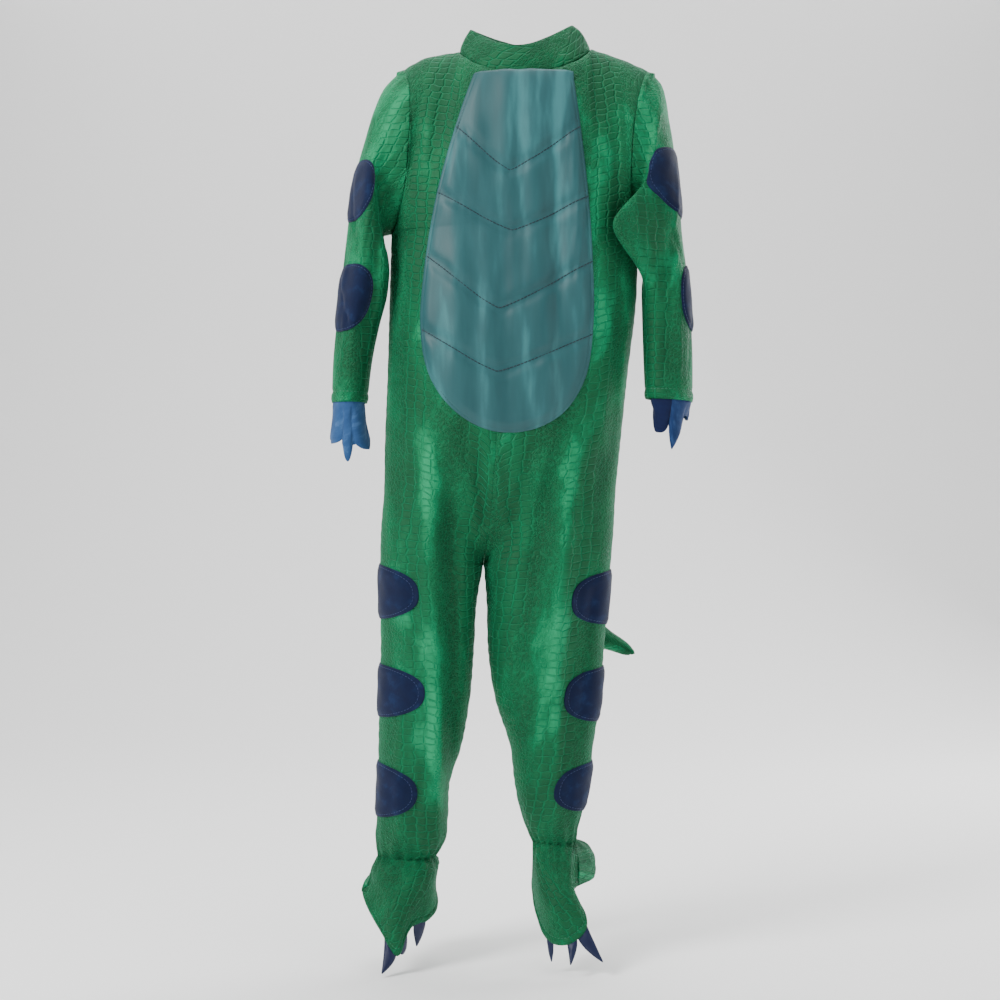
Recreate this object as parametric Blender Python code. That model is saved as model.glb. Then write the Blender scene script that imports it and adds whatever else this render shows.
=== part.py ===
# A child's dinosaur costume: a one-piece of stamped green velour with a standing collar, a satin belly,
# sewn-on spots, hand flaps, shoe covers with claws, and a stuffed tail. It hangs hollow, as a wearer fills it.
# X runs to the wearer's left, the front faces -Y and Z is up. The tables are in millimetres.
# The origin is the middle of the neck opening, where the wearer holds the garment up.

import math

import bmesh
import bpy
import numpy as np
from mathutils import Vector
from mathutils.bvhtree import BVHTree

MM = 0.001

CLOTH = 2.0  # wall of the velour, with its pile
SATIN = 1.2  # wall of the belly panel
FELT = 1.6  # wall of the spots
SEAM = 0.3  # air between two pieces at a seam
FLAP_GAP = 0.45  # between a cuff and its hand flap
CLAW_GAP = 1.2  # between a toe's hem, which runs aslant, and a claw
LIFT = 0.35  # air between a panel and what is sewn on it

COLUMNS = 10  # cells across a body panel, from its side seam to the centre seam
SHOULDER_COLUMNS = 5  # of those, the cells under the shoulder seam; the rest run along the neckline
LEG_ROWS = 12
RISE_ROWS = 5
TRUNK_ROWS = 7
YOKE_ROWS = 7
SLEEVE_ROWS = 18
COLLAR_ROWS = 3
FOOT_ROWS = 8
OUTLINE_STEPS = 20  # edges round an oval that is cut from a panel

RISE_TOP = -415.0  # the front centre seam starts to curve under here
CROTCH = -531.0
ARMPIT = -183.0
BOXINESS = 0.86  # exponent of the trunk's sections: 1 is an ellipse, less is squarer
LEG_BOXINESS = 1.0  # the same for the legs, reached this far below the crotch
LEG_BOXINESS_DROP = 60.0


def table(columns, *rows):
    """A short table with named columns, one row for each section or fold."""
    data = np.array(rows, float)
    return {name: data[:, k] for k, name in enumerate(columns.split())}


# The trunk's sections: its two silhouette edges, the centre seam, and how far the front and the back stand out.
TRUNK = table(
    "z      right   centre  left    middle  front   back",
    (-183,  -134,   -6,     127,    0,      -66,    57),
    (-254,  -136,   -18,    125,    0,      -73,    57),
    (-330,  -138,   -21,    116,    0,      -76,    59),
    (-407,  -141,   -23,    108,    0,      -72,    64),
    (-458,  -142,   -27,    103,    0,      -67,    64),
    (-496,  -145,   -31,    101,    0,      -63,    62),
    (-531,  -146,   -36.5,  98,     0,      -60,    59),
)

# Each leg's sections, from the crotch to the gathered ankle.
LEGS = {
    "right": table(
        "z      outer   inner   middle  front   back",
        (-531,  -146,   -36.5,  0,      -60,    59),
        (-572,  -146,   -43.5,  0,      -56,    55),
        (-623,  -145.5, -46.5,  0,      -51,    50),
        (-676,  -147,   -51,    0,      -49,    47),
        (-725,  -148,   -60,    0,      -47,    45),
        (-763,  -148,   -72,    0,      -45,    43),
        (-801,  -150,   -74,    0,      -41,    39),
        (-824,  -151,   -77,    0,      -36,    34),
        (-841,  -148,   -88,    0,      -25,    24),
    ),
    "left": table(
        "z      outer   inner   middle  front   back",
        (-531,  98,     -36.5,  0,      -60,    59),
        (-572,  95,     -33.5,  0,      -56,    55),
        (-623,  91,     -32,    0,      -51,    50),
        (-676,  87,     -24,    0,      -48,    46),
        (-725,  79.5,   -8.5,   0,      -45,    44),
        (-763,  75,     -4,     0,      -42,    41),
        (-792,  69,     2,      0,      -38,    37),
        (-811,  63.5,   9,      0,      -33,    32),
        (-825,  61,     16,     0,      -24,    23),
    ),
}

# Shoulder seams, from the sleeve to the neck: the tip, a point halfway and the neck point.
SHOULDERS = {
    "right": table("x z", (-123, -8), (-96, 5), (-62, 11)),
    "left": table("x z", (140, -10), (112, 2), (77, 14)),
}
SHOULDER_DEPTH = 2.0
NECK = {"x": 4.0, "front_y": -46.0, "front_z": -20.0, "back_y": 42.0, "back_z": 9.0}
COLLAR_TOP = table(
    "turn   x       y       z",
    (0,     -51,    0,      34),
    (90,    2,      -40,    7),
    (180,   58,     0,      39),
    (270,   4,      37,     27),
)

# Each sleeve's sections from the armhole to the cuff. "out" is the section's outer point and "in" its inner one,
# "front" and "back" are how far it swells between them, and "turn" and "lean" swing those swells outwards.
# "pull_x" and "pull_y" draw the lower front of the left sleeve forwards over the chest, to its folded elbow.
SLEEVES = {
    "right": table(
        "at     out_x   out_y   out_z   in_x    in_y    in_z    front   turn    back    lean    pull_x  pull_y",
        (0,     -123,   2,      -8,     -134,   0,      -183,   48,     -18,    48,     0,      0,      0),
        (0.06,  -141,   3,      -26,    -141,   -1,     -184,   46,     -8,     46,     0,      0,      0),
        (0.13,  -152,   2,      -50,    -143,   -6,     -189,   45,     -2,     44,     0,      0,      0),
        (0.22,  -162,   0,      -84,    -138,   -18,    -202,   44,     0,      44,     4,      0,      0),
        (0.34,  -171,   -2,     -118,   -135,   -26,    -218,   42,     0,      44,     8,      0,      0),
        (0.48,  -178,   -4,     -160,   -135,   -28,    -234,   39,     0,      44,     10,     0,      0),
        (0.62,  -184,   -6,     -214,   -138,   -26,    -255,   35,     0,      42,     8,      0,      0),
        (0.76,  -190,   -9,     -266,   -146,   -19,    -283,   33,     0,      37,     4,      0,      0),
        (0.88,  -194.5, -11,    -314,   -154,   -15,    -320,   32,     0,      34,     0,      0,      0),
        (1,     -196,   -14,    -362,   -159,   -14,    -362,   32,     0,      33,     0,      0,      0),
    ),
    "left": table(
        "at     out_x   out_y   out_z   in_x    in_y    in_z    front   turn    back    lean    pull_x  pull_y",
        (0,     140,    2,      -10,    127,    0,      -183,   48,     -18,    48,     0,      0,      0),
        (0.06,  152,    2,      -23,    135,    -1,     -184,   44,     -14,    47,     0,      0,      0),
        (0.12,  157,    0,      -40,    138,    -4,     -188,   45,     -12,    46,     2,      -14,    -14),
        (0.185, 160,    0,      -60,    136,    -7,     -195,   45,     -12,    45,     4,      -30,    -28),
        (0.25,  164,    1,      -82,    135,    -9,     -201,   44,     -8,     43,     5,      -39,    -35),
        (0.33,  167,    2,      -108,   133,    -11,    -212,   41,     -2,     40,     5,      -34,    -32),
        (0.42,  170,    3,      -138,   132,    -13,    -225,   38,     4,      38,     5,      -22,    -23),
        (0.55,  173,    4,      -184,   130,    -14,    -240,   34,     8,      35,     5,      -6,     -9),
        (0.70,  180,    4,      -240,   130,    -17,    -264,   31,     8,      32,     4,      0,      0),
        (0.85,  184,    0,      -300,   131,    -20,    -306,   29,     6,      29,     2,      0,      0),
        (1,     184,    -6,     -361,   133,    -24,    -358,   28,     4,      26,     0,      0,      0),
    ),
}
PULL_SPAN = (85.0, 180.0)  # the part of the section that is drawn forwards, in degrees from the outer point
SLEEVE_CLEARANCE = 3.5  # air between a sleeve and the trunk beside it

# The largest folds of the body, each a soft ridge, or a trough where its depth is below 0.
FOLDS = table(
    "face   top_x   top_z   low_x   low_z   width   depth",
    (-1,    -97,    -400,   -78,    -800,   15,     7),
    (-1,    -70,    -480,   -66,    -760,   15,     -5),
    (-1,    66,     -400,   30,     -660,   17,     6),
    (-1,    84,     -420,   56,     -780,   14,     -4),
    (-1,    28,     -440,   2,      -640,   14,     -4),
    (-1,    -58,    -390,   -32,    -490,   13,     -4),
    (-1,    62,     -40,    66,     -300,   15,     4),
    (-1,    90,     -70,    88,     -400,   14,     4),
    (-1,    -62,    -90,    -74,    -400,   16,     3),
    (-1,    -118,   -230,   -122,   -500,   12,     -3),
    (1,     -84,    -60,    -94,    -420,   16,     5),
    (1,     70,     -60,    66,     -430,   16,     5),
    (1,     -104,   -430,   -112,   -780,   15,     5),
    (1,     -72,    -560,   -88,    -780,   14,     -4),
    (1,     62,     -440,   36,     -780,   15,     5),
)

# The folds along the sleeves: the places round the section at both ends, in degrees, and the stretch they run.
SLEEVE_FOLDS = {
    "right": table(
        "top_turn   low_turn    start   end     width   depth",
        (78,        84,         0.08,   0.92,   20,     5),
        (118,       122,        0.02,   0.85,   18,     -7),
        (-70,       -80,        0.15,   0.9,    26,     4),
    ),
    "left": table(
        "top_turn   low_turn    start   end     width   depth",
        (50,        60,         0.3,    0.9,    22,     3),
        (95,        100,        0.5,    0.98,   18,     -4),
    ),
}

# The belly panel's outline, seen from the front, from the neckline down the right side and up the left one.
BELLY = table(
    "x      z",
    (-45,   -19),
    (-60,   -62),
    (-79,   -127),
    (-89,   -172),
    (-97,   -226),
    (-101,  -281),
    (-95,   -326),
    (-79,   -358),
    (-55,   -381),
    (-24,   -394),
    (10,    -393),
    (39,    -380),
    (59,    -358),
    (72,    -326),
    (77,    -275),
    (76,    -217),
    (72,    -155),
    (65,    -90),
    (56,    -19),
)

# The spots. A leg spot is centred on the side seam at z. A sleeve spot is centred at z and at "turn" degrees from
# the outer point towards the front.
LEG_SPOTS = {
    "right": table("z reach half_height", (-560, 79, 29), (-664, 79, 28), (-768, 71, 29)),
    "left": table("z reach half_height", (-566, 72, 29), (-668, 65, 29), (-765, 61, 26)),
}
SLEEVE_SPOTS = {
    "right": table("z turn half_turn half_height", (-142, 41, 50, 32), (-254, 54, 64, 35)),
    "left": table("z turn half_turn half_height", (-131, 20, 78, 36), (-251, 12, 54, 35)),
}
SPOT_TURN = 0.65  # mm round the sleeve to a degree of turn, where an outline is laid flat

# The shoe covers hang limp and folded. "turn" runs from the outer side over the toe and round the heel.
# The first ring is the puff below the elastic, the second the instep and the third the hem.
FEET = {
    "right": (
        table(
            "turn   x       y       z",
            (0,     -153,   -8,     -850),
            (40,    -145,   -30,    -852),
            (85,    -121,   -38,    -853),
            (130,   -94,    -28,    -849),
            (165,   -85,    -6,     -847),
            (205,   -87,    18,     -845),
            (270,   -122,   34,     -848),
            (320,   -148,   20,     -849),
        ),
        table(
            "turn   x       y       z",
            (0,     -156,   -16,    -863),
            (38,    -144,   -44,    -872),
            (75,    -126,   -56,    -880),
            (104,   -108,   -48,    -874),
            (130,   -94,    -34,    -872),
            (160,   -87,    -12,    -867),
            (188,   -90,    8,      -856),
            (212,   -86,    22,     -850),
            (270,   -123,   40,     -857),
            (320,   -152,   22,     -856),
        ),
        table(
            "turn   x       y       z",
            (0,     -164,   -20,    -875),
            (38,    -142,   -54,    -910),
            (74,    -123,   -64,    -932),
            (104,   -110,   -48,    -906),
            (130,   -95,    -36,    -903),
            (160,   -84,    -12,    -889),
            (188,   -93,    8,      -866),
            (212,   -85,    24,     -856),
            (270,   -124,   48,     -868),
            (320,   -153,   24,     -866),
        ),
    ),
    "left": (
        table(
            "turn   x       y       z",
            (10,    59,     -20,    -834),
            (45,    54,     -34,    -838),
            (90,    38,     -36,    -840),
            (130,   23,     -26,    -838),
            (165,   16,     -8,     -836),
            (210,   18,     16,     -836),
            (260,   38,     30,     -835),
            (305,   67,     22,     -829),
            (345,   67,     2,      -830),
        ),
        table(
            "turn   x       y       z",
            (10,    56,     -26,    -852),
            (45,    58,     -48,    -866),
            (90,    44,     -58,    -878),
            (130,   26,     -46,    -872),
            (165,   16,     -18,    -860),
            (210,   19,     20,     -847),
            (260,   41,     40,     -846),
            (305,   77,     32,     -841),
            (345,   76,     6,      -846),
        ),
        table(
            "turn   x       y       z",
            (10,    58,     -32,    -872),
            (45,    71,     -57,    -897),
            (70,    66,     -64,    -910),
            (95,    50,     -66,    -920),
            (130,   28,     -50,    -917),
            (165,   16,     -18,    -890),
            (210,   20,     26,     -859),
            (260,   44,     50,     -857),
            (305,   78,     40,     -855),
            (335,   82,     12,     -866),
        ),
    ),
}
FOOT_KNOTS = (0, 0.16, 0.5, 1)  # where the ankle and the three rings lie along the cover

# The claws at the toes, each from its place on the hem to its tip.
TOE_CLAWS = {
    "right": table(
        "turn   half_turn   tip_x   tip_y   tip_z   puff",
        (56,    13,         -140,   -72,    -948,   5),
        (88,    8,          -118,   -28,    -930,   5),
        (119,   11,         -106,   -33,    -929,   5),
    ),
    "left": table(
        "turn   half_turn   tip_x   tip_y   tip_z   puff",
        (65,    14,         86,     -72,    -936,   5),
        (88,    8,          53,     -76,    -938,   5),
        (124,   6,          34,     -54,    -940,   5),
    ),
}

# The hand flaps: three fingers along the cuff, each with its place, half width, length, how pointed it is, and
# how far its tip leans along x.
HAND_FLAPS = {
    "right": {
        "start": -4, "end": 172, "spread": 3.0, "palm": 37.0,
        "fingers": table(
            "turn   half_turn   length  point   lean",
            (30,    44,         43,     3,      0),
            (92,    18,         62,     2.0,    0),
            (142,   40,         49,     3,      5),
        ),
    },
    "left": {
        "start": -44, "end": 156, "spread": -2.0, "palm": 16.0,
        "fingers": table(
            "turn   half_turn   length  point   lean",
            (-18,   24,         20,     3,      0),
            (70,    27,         52,     1.2,    -7),
            (122,   34,         36,     3,      -2),
        ),
    },
}
FLAP_COLUMNS = 26
FLAP_ROWS = 4

TAIL = table(
    "x      y       z       radius",
    (-20,   62,     -452,   43),
    (-18,   86,     -471,   42),
    (-13,   101,    -498,   38),
    (-3,    109,    -531,   33),
    (20,    114,    -567,   27),
    (54,    117,    -597,   20),
    (91,    115,    -616,   13.5),
    (119,   112,    -629,   7.5),
    (130,   111,    -635,   3),
)
TAIL_LIFT_OFF = 0.35  # the share of the tail over which its sections swing from the seat to square on the spine
TAIL_SIDES = 18
TAIL_ROWS = 12
TAIL_SEAT = 0.8  # air between the tail's base and the seat of the costume

CLOSURE = {"half_width": 13.0, "top_z": 2.0, "low_z": -392.0}
RIM_ORDER = np.array([1.0, 0.37, 0.61])  # the direction that tells which corner of a seam's cell is the lower one

COLORS = {
    "velour": (0.018, 0.205, 0.075),
    "satin": (0.085, 0.245, 0.255),
    "spot_felt": (0.008, 0.022, 0.085),
    "hand_felt": (0.030, 0.110, 0.330),
    "claw_satin": (0.006, 0.018, 0.090),
}

SIGNS = {"right": -1.0, "left": 1.0}
FACES = {"front": -1.0, "back": 1.0}


def curve(knots, values, at):
    """Reads a smooth cubic through the knots. Its slope at a knot is that of the chord between its neighbours."""
    knots = np.asarray(knots, float)
    values = np.asarray(values, float).reshape(len(knots), -1)
    if knots[0] > knots[-1]:
        knots, values = knots[::-1], values[::-1]
    slopes = np.gradient(values, knots, axis=0) if len(knots) > 2 else np.repeat(
        (values[1:] - values[:-1]) / (knots[1] - knots[0]), 2, axis=0)
    at = np.clip(np.atleast_1d(np.asarray(at, float)), knots[0], knots[-1])
    k = np.clip(np.searchsorted(knots, at, side="right") - 1, 0, len(knots) - 2)
    gap = (knots[k + 1] - knots[k])[:, None]
    t = (at - knots[k])[:, None] / gap
    return (
        values[k] * (2 * t**3 - 3 * t**2 + 1)
        + slopes[k] * gap * (t**3 - 2 * t**2 + t)
        + values[k + 1] * (3 * t**2 - 2 * t**3)
        + slopes[k + 1] * gap * (t**3 - t**2)
    )


def read(sections, key, columns, at):
    """The named columns of a table, read smoothly at a value of its key column."""
    values = np.stack([sections[name] for name in columns], axis=1)
    return curve(sections[key], values, at)


def loop(ring, turns):
    """A closed smooth curve through a ring's table, read at turns in degrees."""
    turn = ring["turn"]
    points = np.stack([ring["x"], ring["y"], ring["z"]], axis=1)
    knots = np.concatenate([turn[-2:] - 360, turn, turn[:3] + 360])
    values = np.concatenate([points[-2:], points, points[:3]])
    return curve(knots, values, np.where(turns < turn[0], turns + 360, turns))


def fold_push(face, x, z):
    """How far the folds move the cloth outwards at a place seen from the front: a bell across each fold's line."""
    push = np.zeros_like(x)
    rows = zip(*(FOLDS[name] for name in ("face", "top_x", "top_z", "low_x", "low_z", "width", "depth")))
    for side, top_x, top_z, low_x, low_z, width, depth in rows:
        if side != face:
            continue
        along = (z - top_z) / (low_z - top_z)
        line = top_x + (low_x - top_x) * along
        ends = np.clip(np.minimum(along, 1 - along) * 5 + 0.5, 0, 1)
        push += depth * np.exp(-(((x - line) / width) ** 2)) * ends * ends * (3 - 2 * ends)
    return push


def half_ring(edge, inner, middle, crown, spread, boxiness=BOXINESS):
    """Half a section from the side seam inwards. Spread is 90 degrees up to the centre, or 180 round to the inseam."""
    angle = np.linspace(0, math.radians(spread), COLUMNS + 1)
    reach = np.cos(angle)
    reach = np.sign(reach) * np.abs(reach) ** boxiness
    if spread == 90:
        x = inner + (edge - inner) * reach
    else:
        x = (edge + inner) / 2 + (edge - inner) / 2 * reach
    y = middle + (crown - middle) * np.abs(np.sin(angle)) ** boxiness
    return x, y


def trunk_row(side, face, z):
    edge, centre, middle, crown = read(TRUNK, "z", (side, "centre", "middle", face), z)[0]
    x, y = half_ring(edge, centre, middle, crown, 90)
    return np.stack([x, y, np.full_like(x, z)], axis=1)


def rise_row(side, face, angle):
    """Rows from the trunk to the crotch. The centre seam curves under on a quarter ellipse; the sides go straight."""
    drop = math.sin(angle)
    z = RISE_TOP + (CROTCH - RISE_TOP) * drop
    edge, centre, middle, crown = read(TRUNK, "z", (side, "centre", "middle", face), z)[0]
    x, y = half_ring(edge, centre, middle, crown, 180)
    leg = np.stack([x, y, np.full_like(x, z)], axis=1)
    near_centre = np.linspace(0, 1, COLUMNS + 1) ** 4
    share = near_centre * (1 - math.cos(angle)) + (1 - near_centre) * drop * drop * (3 - 2 * drop)
    return trunk_row(side, face, z) * (1 - share[:, None]) + leg * share[:, None]


def leg_row(side, face, z):
    edge, inner, middle, crown = read(LEGS[side], "z", ("outer", "inner", "middle", face), z)[0]
    below = min(1, (CROTCH - z) / LEG_BOXINESS_DROP)
    x, y = half_ring(edge, inner, middle, crown, 180, BOXINESS + (LEG_BOXINESS - BOXINESS) * below)
    return np.stack([x, y, np.full_like(x, z)], axis=1)


def sleeve_push(side, at, angle):
    """How far a sleeve's folds move it outwards at each place round its section."""
    push = np.zeros_like(angle)
    folds = SLEEVE_FOLDS[side]
    names = ("top_turn", "low_turn", "start", "end", "width", "depth")
    for top, low, start, end, width, depth in zip(*(folds[name] for name in names)):
        along = (at - start) / (end - start)
        ends = min(1, max(0, min(along, 1 - along) * 6))
        line = top + (low - top) * along
        push += depth * np.exp(-(((np.degrees(angle) - line) / width) ** 2)) * ends
    return push


def sleeve_ring(side, at, turns):
    """A sleeve's section: half an ellipse from its outer point over the front to its inner point, and half back."""
    names = ("out_x", "out_y", "out_z", "in_x", "in_y", "in_z", "front", "turn", "back", "lean", "pull_x", "pull_y")
    row = read(SLEEVES[side], "at", names, at)[0]
    outer, inner, front, back = row[0:3], row[3:6], row[6], row[8]
    turn, lean = np.radians(row[[7, 9]])
    angle = np.radians(turns)
    middle, half = (outer + inner) / 2, (outer - inner) / 2
    forwards = np.array([SIGNS[side] * math.sin(turn), -math.cos(turn), 0])
    backwards = np.array([SIGNS[side] * math.sin(lean), math.cos(lean), 0])
    ahead = np.sin(angle)[:, None] >= 0
    push = sleeve_push(side, at, angle)[:, None] * np.abs(np.sin(angle))[:, None]
    swell = np.where(ahead, forwards * front, backwards * back) * np.abs(np.sin(angle))[:, None]
    drawn = np.clip((turns - PULL_SPAN[0]) / (PULL_SPAN[1] - PULL_SPAN[0]), 0, 1)
    pull = np.sin(math.pi * drawn)[:, None] ** 2 * np.array([row[10], row[11], 0])
    return middle + np.cos(angle)[:, None] * half + swell + np.where(ahead, forwards, backwards) * push + pull


def top_row(side, face):
    """A panel's top edge: the shoulder seam from the sleeve to the neck point, then the neckline to the centre."""
    seam = SHOULDERS[side]
    along = np.linspace(0, 1, SHOULDER_COLUMNS + 1)
    points = np.stack([seam["x"], seam["z"]], axis=1)
    shoulder = curve([0, 0.5, 1], points, along)
    shoulder = np.stack([shoulder[:, 0], np.full(len(along), SHOULDER_DEPTH), shoulder[:, 1]], axis=1)
    angle = np.linspace(0, math.pi / 2, COLUMNS - SHOULDER_COLUMNS + 1)[1:]
    neck_x, neck_z = seam["x"][-1], seam["z"][-1]
    neck = np.stack([
        NECK["x"] + (neck_x - NECK["x"]) * np.cos(angle),
        SHOULDER_DEPTH + (NECK[face + "_y"] - SHOULDER_DEPTH) * np.sin(angle),
        neck_z + (NECK[face + "_z"] - neck_z) * np.sin(angle) ** 1.3,
    ], axis=1)
    return np.concatenate([shoulder, neck])


def armhole_edge(side, face):
    """The panel's edge at the armhole, from the armpit up to the shoulder tip: the sleeve's own first section."""
    turns = np.linspace(180, 0, YOKE_ROWS + 1)
    return sleeve_ring(side, 0, turns if face == "front" else -turns)


def yoke_rows(side, face, armpit_row):
    """Rows above the armpit, at the heights of the armhole's own points: each column rises on a quarter ellipse."""
    top = top_row(side, face)
    edge = armhole_edge(side, face)
    rows = []
    across = np.linspace(0, 1, COLUMNS + 1)
    hold = np.clip(1 - across / 0.75, 0, 1) ** 2
    for k in range(1, YOKE_ROWS + 1):
        angle = math.acos((1 - math.cos(math.pi * k / YOKE_ROWS)) / 2)
        share = np.array([1 - math.cos(angle), math.sin(angle), 1 - math.cos(angle)])
        row = top + (armpit_row - top) * share
        rows.append(row + hold[:, None] * (edge[k] - row[0]))
    return rows


def body_panel(side, face):
    """One of the four body panels, as rows from the ankle to the shoulder and columns from the side seam inwards."""
    ankle = LEGS[side]["z"][-1]
    rows = [leg_row(side, face, z) for z in np.linspace(ankle, CROTCH, LEG_ROWS + 1)[:-1]]
    rows += [rise_row(side, face, a) for a in np.linspace(math.pi / 2, 0, RISE_ROWS + 1)[:-1]]
    rows += [trunk_row(side, face, z) for z in np.linspace(RISE_TOP, ARMPIT, TRUNK_ROWS + 1)]
    rows += yoke_rows(side, face, rows[-1])
    grid = np.array(rows)
    seam_hold = np.minimum(1, np.arange(COLUMNS + 1) / 2.5)
    inseam = np.ones(grid.shape[:2])
    inseam[:LEG_ROWS + 3] = np.minimum(1, np.arange(COLUMNS, -1, -1) / 2.5)
    push = fold_push(FACES[face], grid[..., 0], grid[..., 2]) * seam_hold * inseam
    grid[..., 1] += FACES[face] * push
    return grid


def surface_tree(skins):
    """The cloth of several grids as triangles that face outwards, to measure from."""
    points, faces = [], []
    for grid, outward in skins:
        start, columns = len(points), grid.shape[1]
        points += [Vector(p) for p in grid.reshape(-1, 3)]
        faces += [tuple(start + v for v in face[::int(outward)]) for face in cell_faces(grid, columns, False)]
    return BVHTree.FromPolygons(points, faces)


def sleeve_grid(side, trunk):
    """Rows from the armhole to the cuff. The columns go round from the shoulder over the front and back again."""
    turns = np.linspace(0, 360, 2 * YOKE_ROWS + 1)
    turns = np.where(turns > 180, turns - 360, turns)
    grid = np.array([sleeve_ring(side, at, turns) for at in np.linspace(0, 1, SLEEVE_ROWS + 1) ** 1.15])
    tree = surface_tree(trunk)
    for r, row in enumerate(grid[1:], 1):
        needed = min(SLEEVE_CLEARANCE, 2.0 * r)
        for k, point in enumerate(row):
            place, normal = tree.find_nearest(Vector(point))[:2]
            away, normal = point - np.array(place), np.array(normal)
            over = np.linalg.norm(away - normal * (away @ normal)) < 1.0
            if over and away @ normal < needed:
                row[k] = point + normal * (needed - away @ normal)
    return grid


def collar_grid(panels):
    """Rows from the neckline up. The columns start at the back centre and go round by the right side."""
    necks = {key: grid[-1, SHOULDER_COLUMNS:] for key, grid in panels.items()}
    base = np.concatenate([
        necks["right", "back"][::-1], necks["right", "front"][1:],
        necks["left", "front"][::-1][1:], necks["left", "back"][1:],
    ])
    turns = np.linspace(-90, 270, len(base))
    top = loop(COLLAR_TOP, turns)
    rows = []
    for t in np.linspace(0, 1, COLLAR_ROWS + 1):
        row = base + (top - base) * t
        row[:, 2] += 3 * math.sin(math.pi * t)
        rows.append(row)
    return np.array(rows)


def foot_grid(side, panels):
    """Rows from the ankle to the hem: each column is a curve through the ankle and the three rings below it."""
    ankle = np.concatenate([panels[side, "front"][0], panels[side, "back"][0][::-1][1:]])
    turns = np.linspace(0, 360, len(ankle))
    stations = np.stack([ankle, *(loop(ring, turns) for ring in FEET[side])])
    at = np.linspace(0, 1, FOOT_ROWS + 1) ** 1.2
    return curve(FOOT_KNOTS, stations.reshape(len(stations), -1), at).reshape(len(at), -1, 3)


def shared_normals(grids):
    """Outward normals of all the cloth as one skin, so that two panels agree at the seam they share."""
    points = np.concatenate([grid.reshape(-1, 3) for grid, _ in grids.values()])
    _, weld = np.unique(np.round(points, 3), axis=0, return_inverse=True)
    weld = weld.reshape(-1)
    sums = np.zeros((weld.max() + 1, 3))
    start, spans = 0, {}
    for name, (grid, outward) in grids.items():
        rows, columns = grid.shape[:2]
        index = weld[start:start + rows * columns].reshape(rows, columns)
        spans[name] = index
        start += rows * columns
        a, b, c, d = grid[:-1, :-1], grid[:-1, 1:], grid[1:, 1:], grid[1:, :-1]
        normal = np.cross(c - a, d - b) * outward
        normal /= np.maximum(np.linalg.norm(normal, axis=2, keepdims=True), 1e-9)
        for corner in (index[:-1, :-1], index[:-1, 1:], index[1:, 1:], index[1:, :-1]):
            np.add.at(sums, corner, normal)
    sums /= np.maximum(np.linalg.norm(sums, axis=1), 1e-9)[:, None]
    return {name: sums[index] for name, index in spans.items()}


def softened(normal):
    """A tube's normals, each taken with its neighbours, so that the wall keeps its thickness in a tight fold."""
    round_once = normal[:, :-1]
    mean = 2.0 * round_once + np.roll(round_once, 1, axis=1) + np.roll(round_once, -1, axis=1)
    mean[1:-1] += round_once[:-2] + round_once[2:]
    mean[0], mean[-1] = round_once[0], round_once[-1]
    mean /= np.linalg.norm(mean, axis=2, keepdims=True)
    return np.concatenate([mean, mean[:, :1]], axis=1)


def eased(grid, edges):
    """The grid with the named edges drawn in by half the seam's gap, along the cloth."""
    grid = grid.copy()
    pairs = {"low": (0, 1, 0), "high": (-1, -2, 0), "first": (0, 1, 1), "last": (-1, -2, 1)}
    for edge in edges:
        border, inner, axis = pairs[edge]
        a, b = np.take(grid, border, axis=axis), np.take(grid, inner, axis=axis)
        step = (b - a) / np.linalg.norm(b - a, axis=-1, keepdims=True) * SEAM / 2
        if axis == 0:
            grid[border] += step
        else:
            grid[:, border] += step
    return grid


def material(name):
    found = bpy.data.materials.get(name) or bpy.data.materials.new(name)
    found.use_nodes = True
    shader = found.node_tree.nodes["Principled BSDF"]
    shader.inputs["Base Color"].default_value = (*COLORS[name], 1)
    shader.inputs["Roughness"].default_value = 0.45 if "satin" in name else 0.9
    return found


def add_object(name, points, faces, finish):
    """A closed solid from points in millimetres, with its faces turned outwards."""
    mesh = bpy.data.meshes.new(name)
    mesh.from_pydata([tuple(p) for p in np.asarray(points) * MM], [], faces)
    bm = bmesh.new()
    bm.from_mesh(mesh)
    bmesh.ops.triangulate(bm, faces=[f for f in bm.faces if len(f.verts) > 4])
    bmesh.ops.recalc_face_normals(bm, faces=bm.faces)
    bm.to_mesh(mesh)
    bm.free()
    mesh.shade_smooth()
    mesh.set_sharp_from_angle(angle=math.radians(50))
    mesh.materials.append(material(finish))
    obj = bpy.data.objects.new(name, mesh)
    bpy.context.scene.collection.objects.link(obj)
    return obj


def cell_faces(grid, columns, closed):
    """Two triangles for each cell, cut along its shorter diagonal, so that all that lies on a panel agrees."""
    faces = []
    last = columns if closed else columns - 1
    for r in range(grid.shape[0] - 1):
        for c in range(last):
            n = (c + 1) % columns
            a, b, e, d = r * columns + c, r * columns + n, (r + 1) * columns + n, (r + 1) * columns + c
            if np.sum((grid[r, c] - grid[r + 1, n]) ** 2) < np.sum((grid[r, n] - grid[r + 1, c]) ** 2):
                faces += [(a, b, e), (a, e, d)]
            else:
                faces += [(a, b, d), (b, e, d)]
    return faces


def wall_faces(outer_faces, count, rim, points):
    """An outer skin and the same skin turned over, joined along the rim. A rim cell is cut from its lower corner."""
    faces = list(outer_faces)
    faces += [tuple(count + v for v in face[::-1]) for face in outer_faces]
    for a, b in rim:
        if points[a] @ RIM_ORDER < points[b] @ RIM_ORDER:
            faces += [(b, a, count + b), (a, count + a, count + b)]
        else:
            faces += [(b, a, count + a), (b, count + a, count + b)]
    return faces


def grid_rim(rows, columns, closed):
    rim = []
    for c in range(columns if closed else columns - 1):
        n = (c + 1) % columns
        rim.append((c, n))
        rim.append(((rows - 1) * columns + n, (rows - 1) * columns + c))
    if not closed:
        for r in range(rows - 1):
            rim.append(((r + 1) * columns, r * columns))
            rim.append((r * columns + columns - 1, (r + 1) * columns + columns - 1))
    return rim


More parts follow.
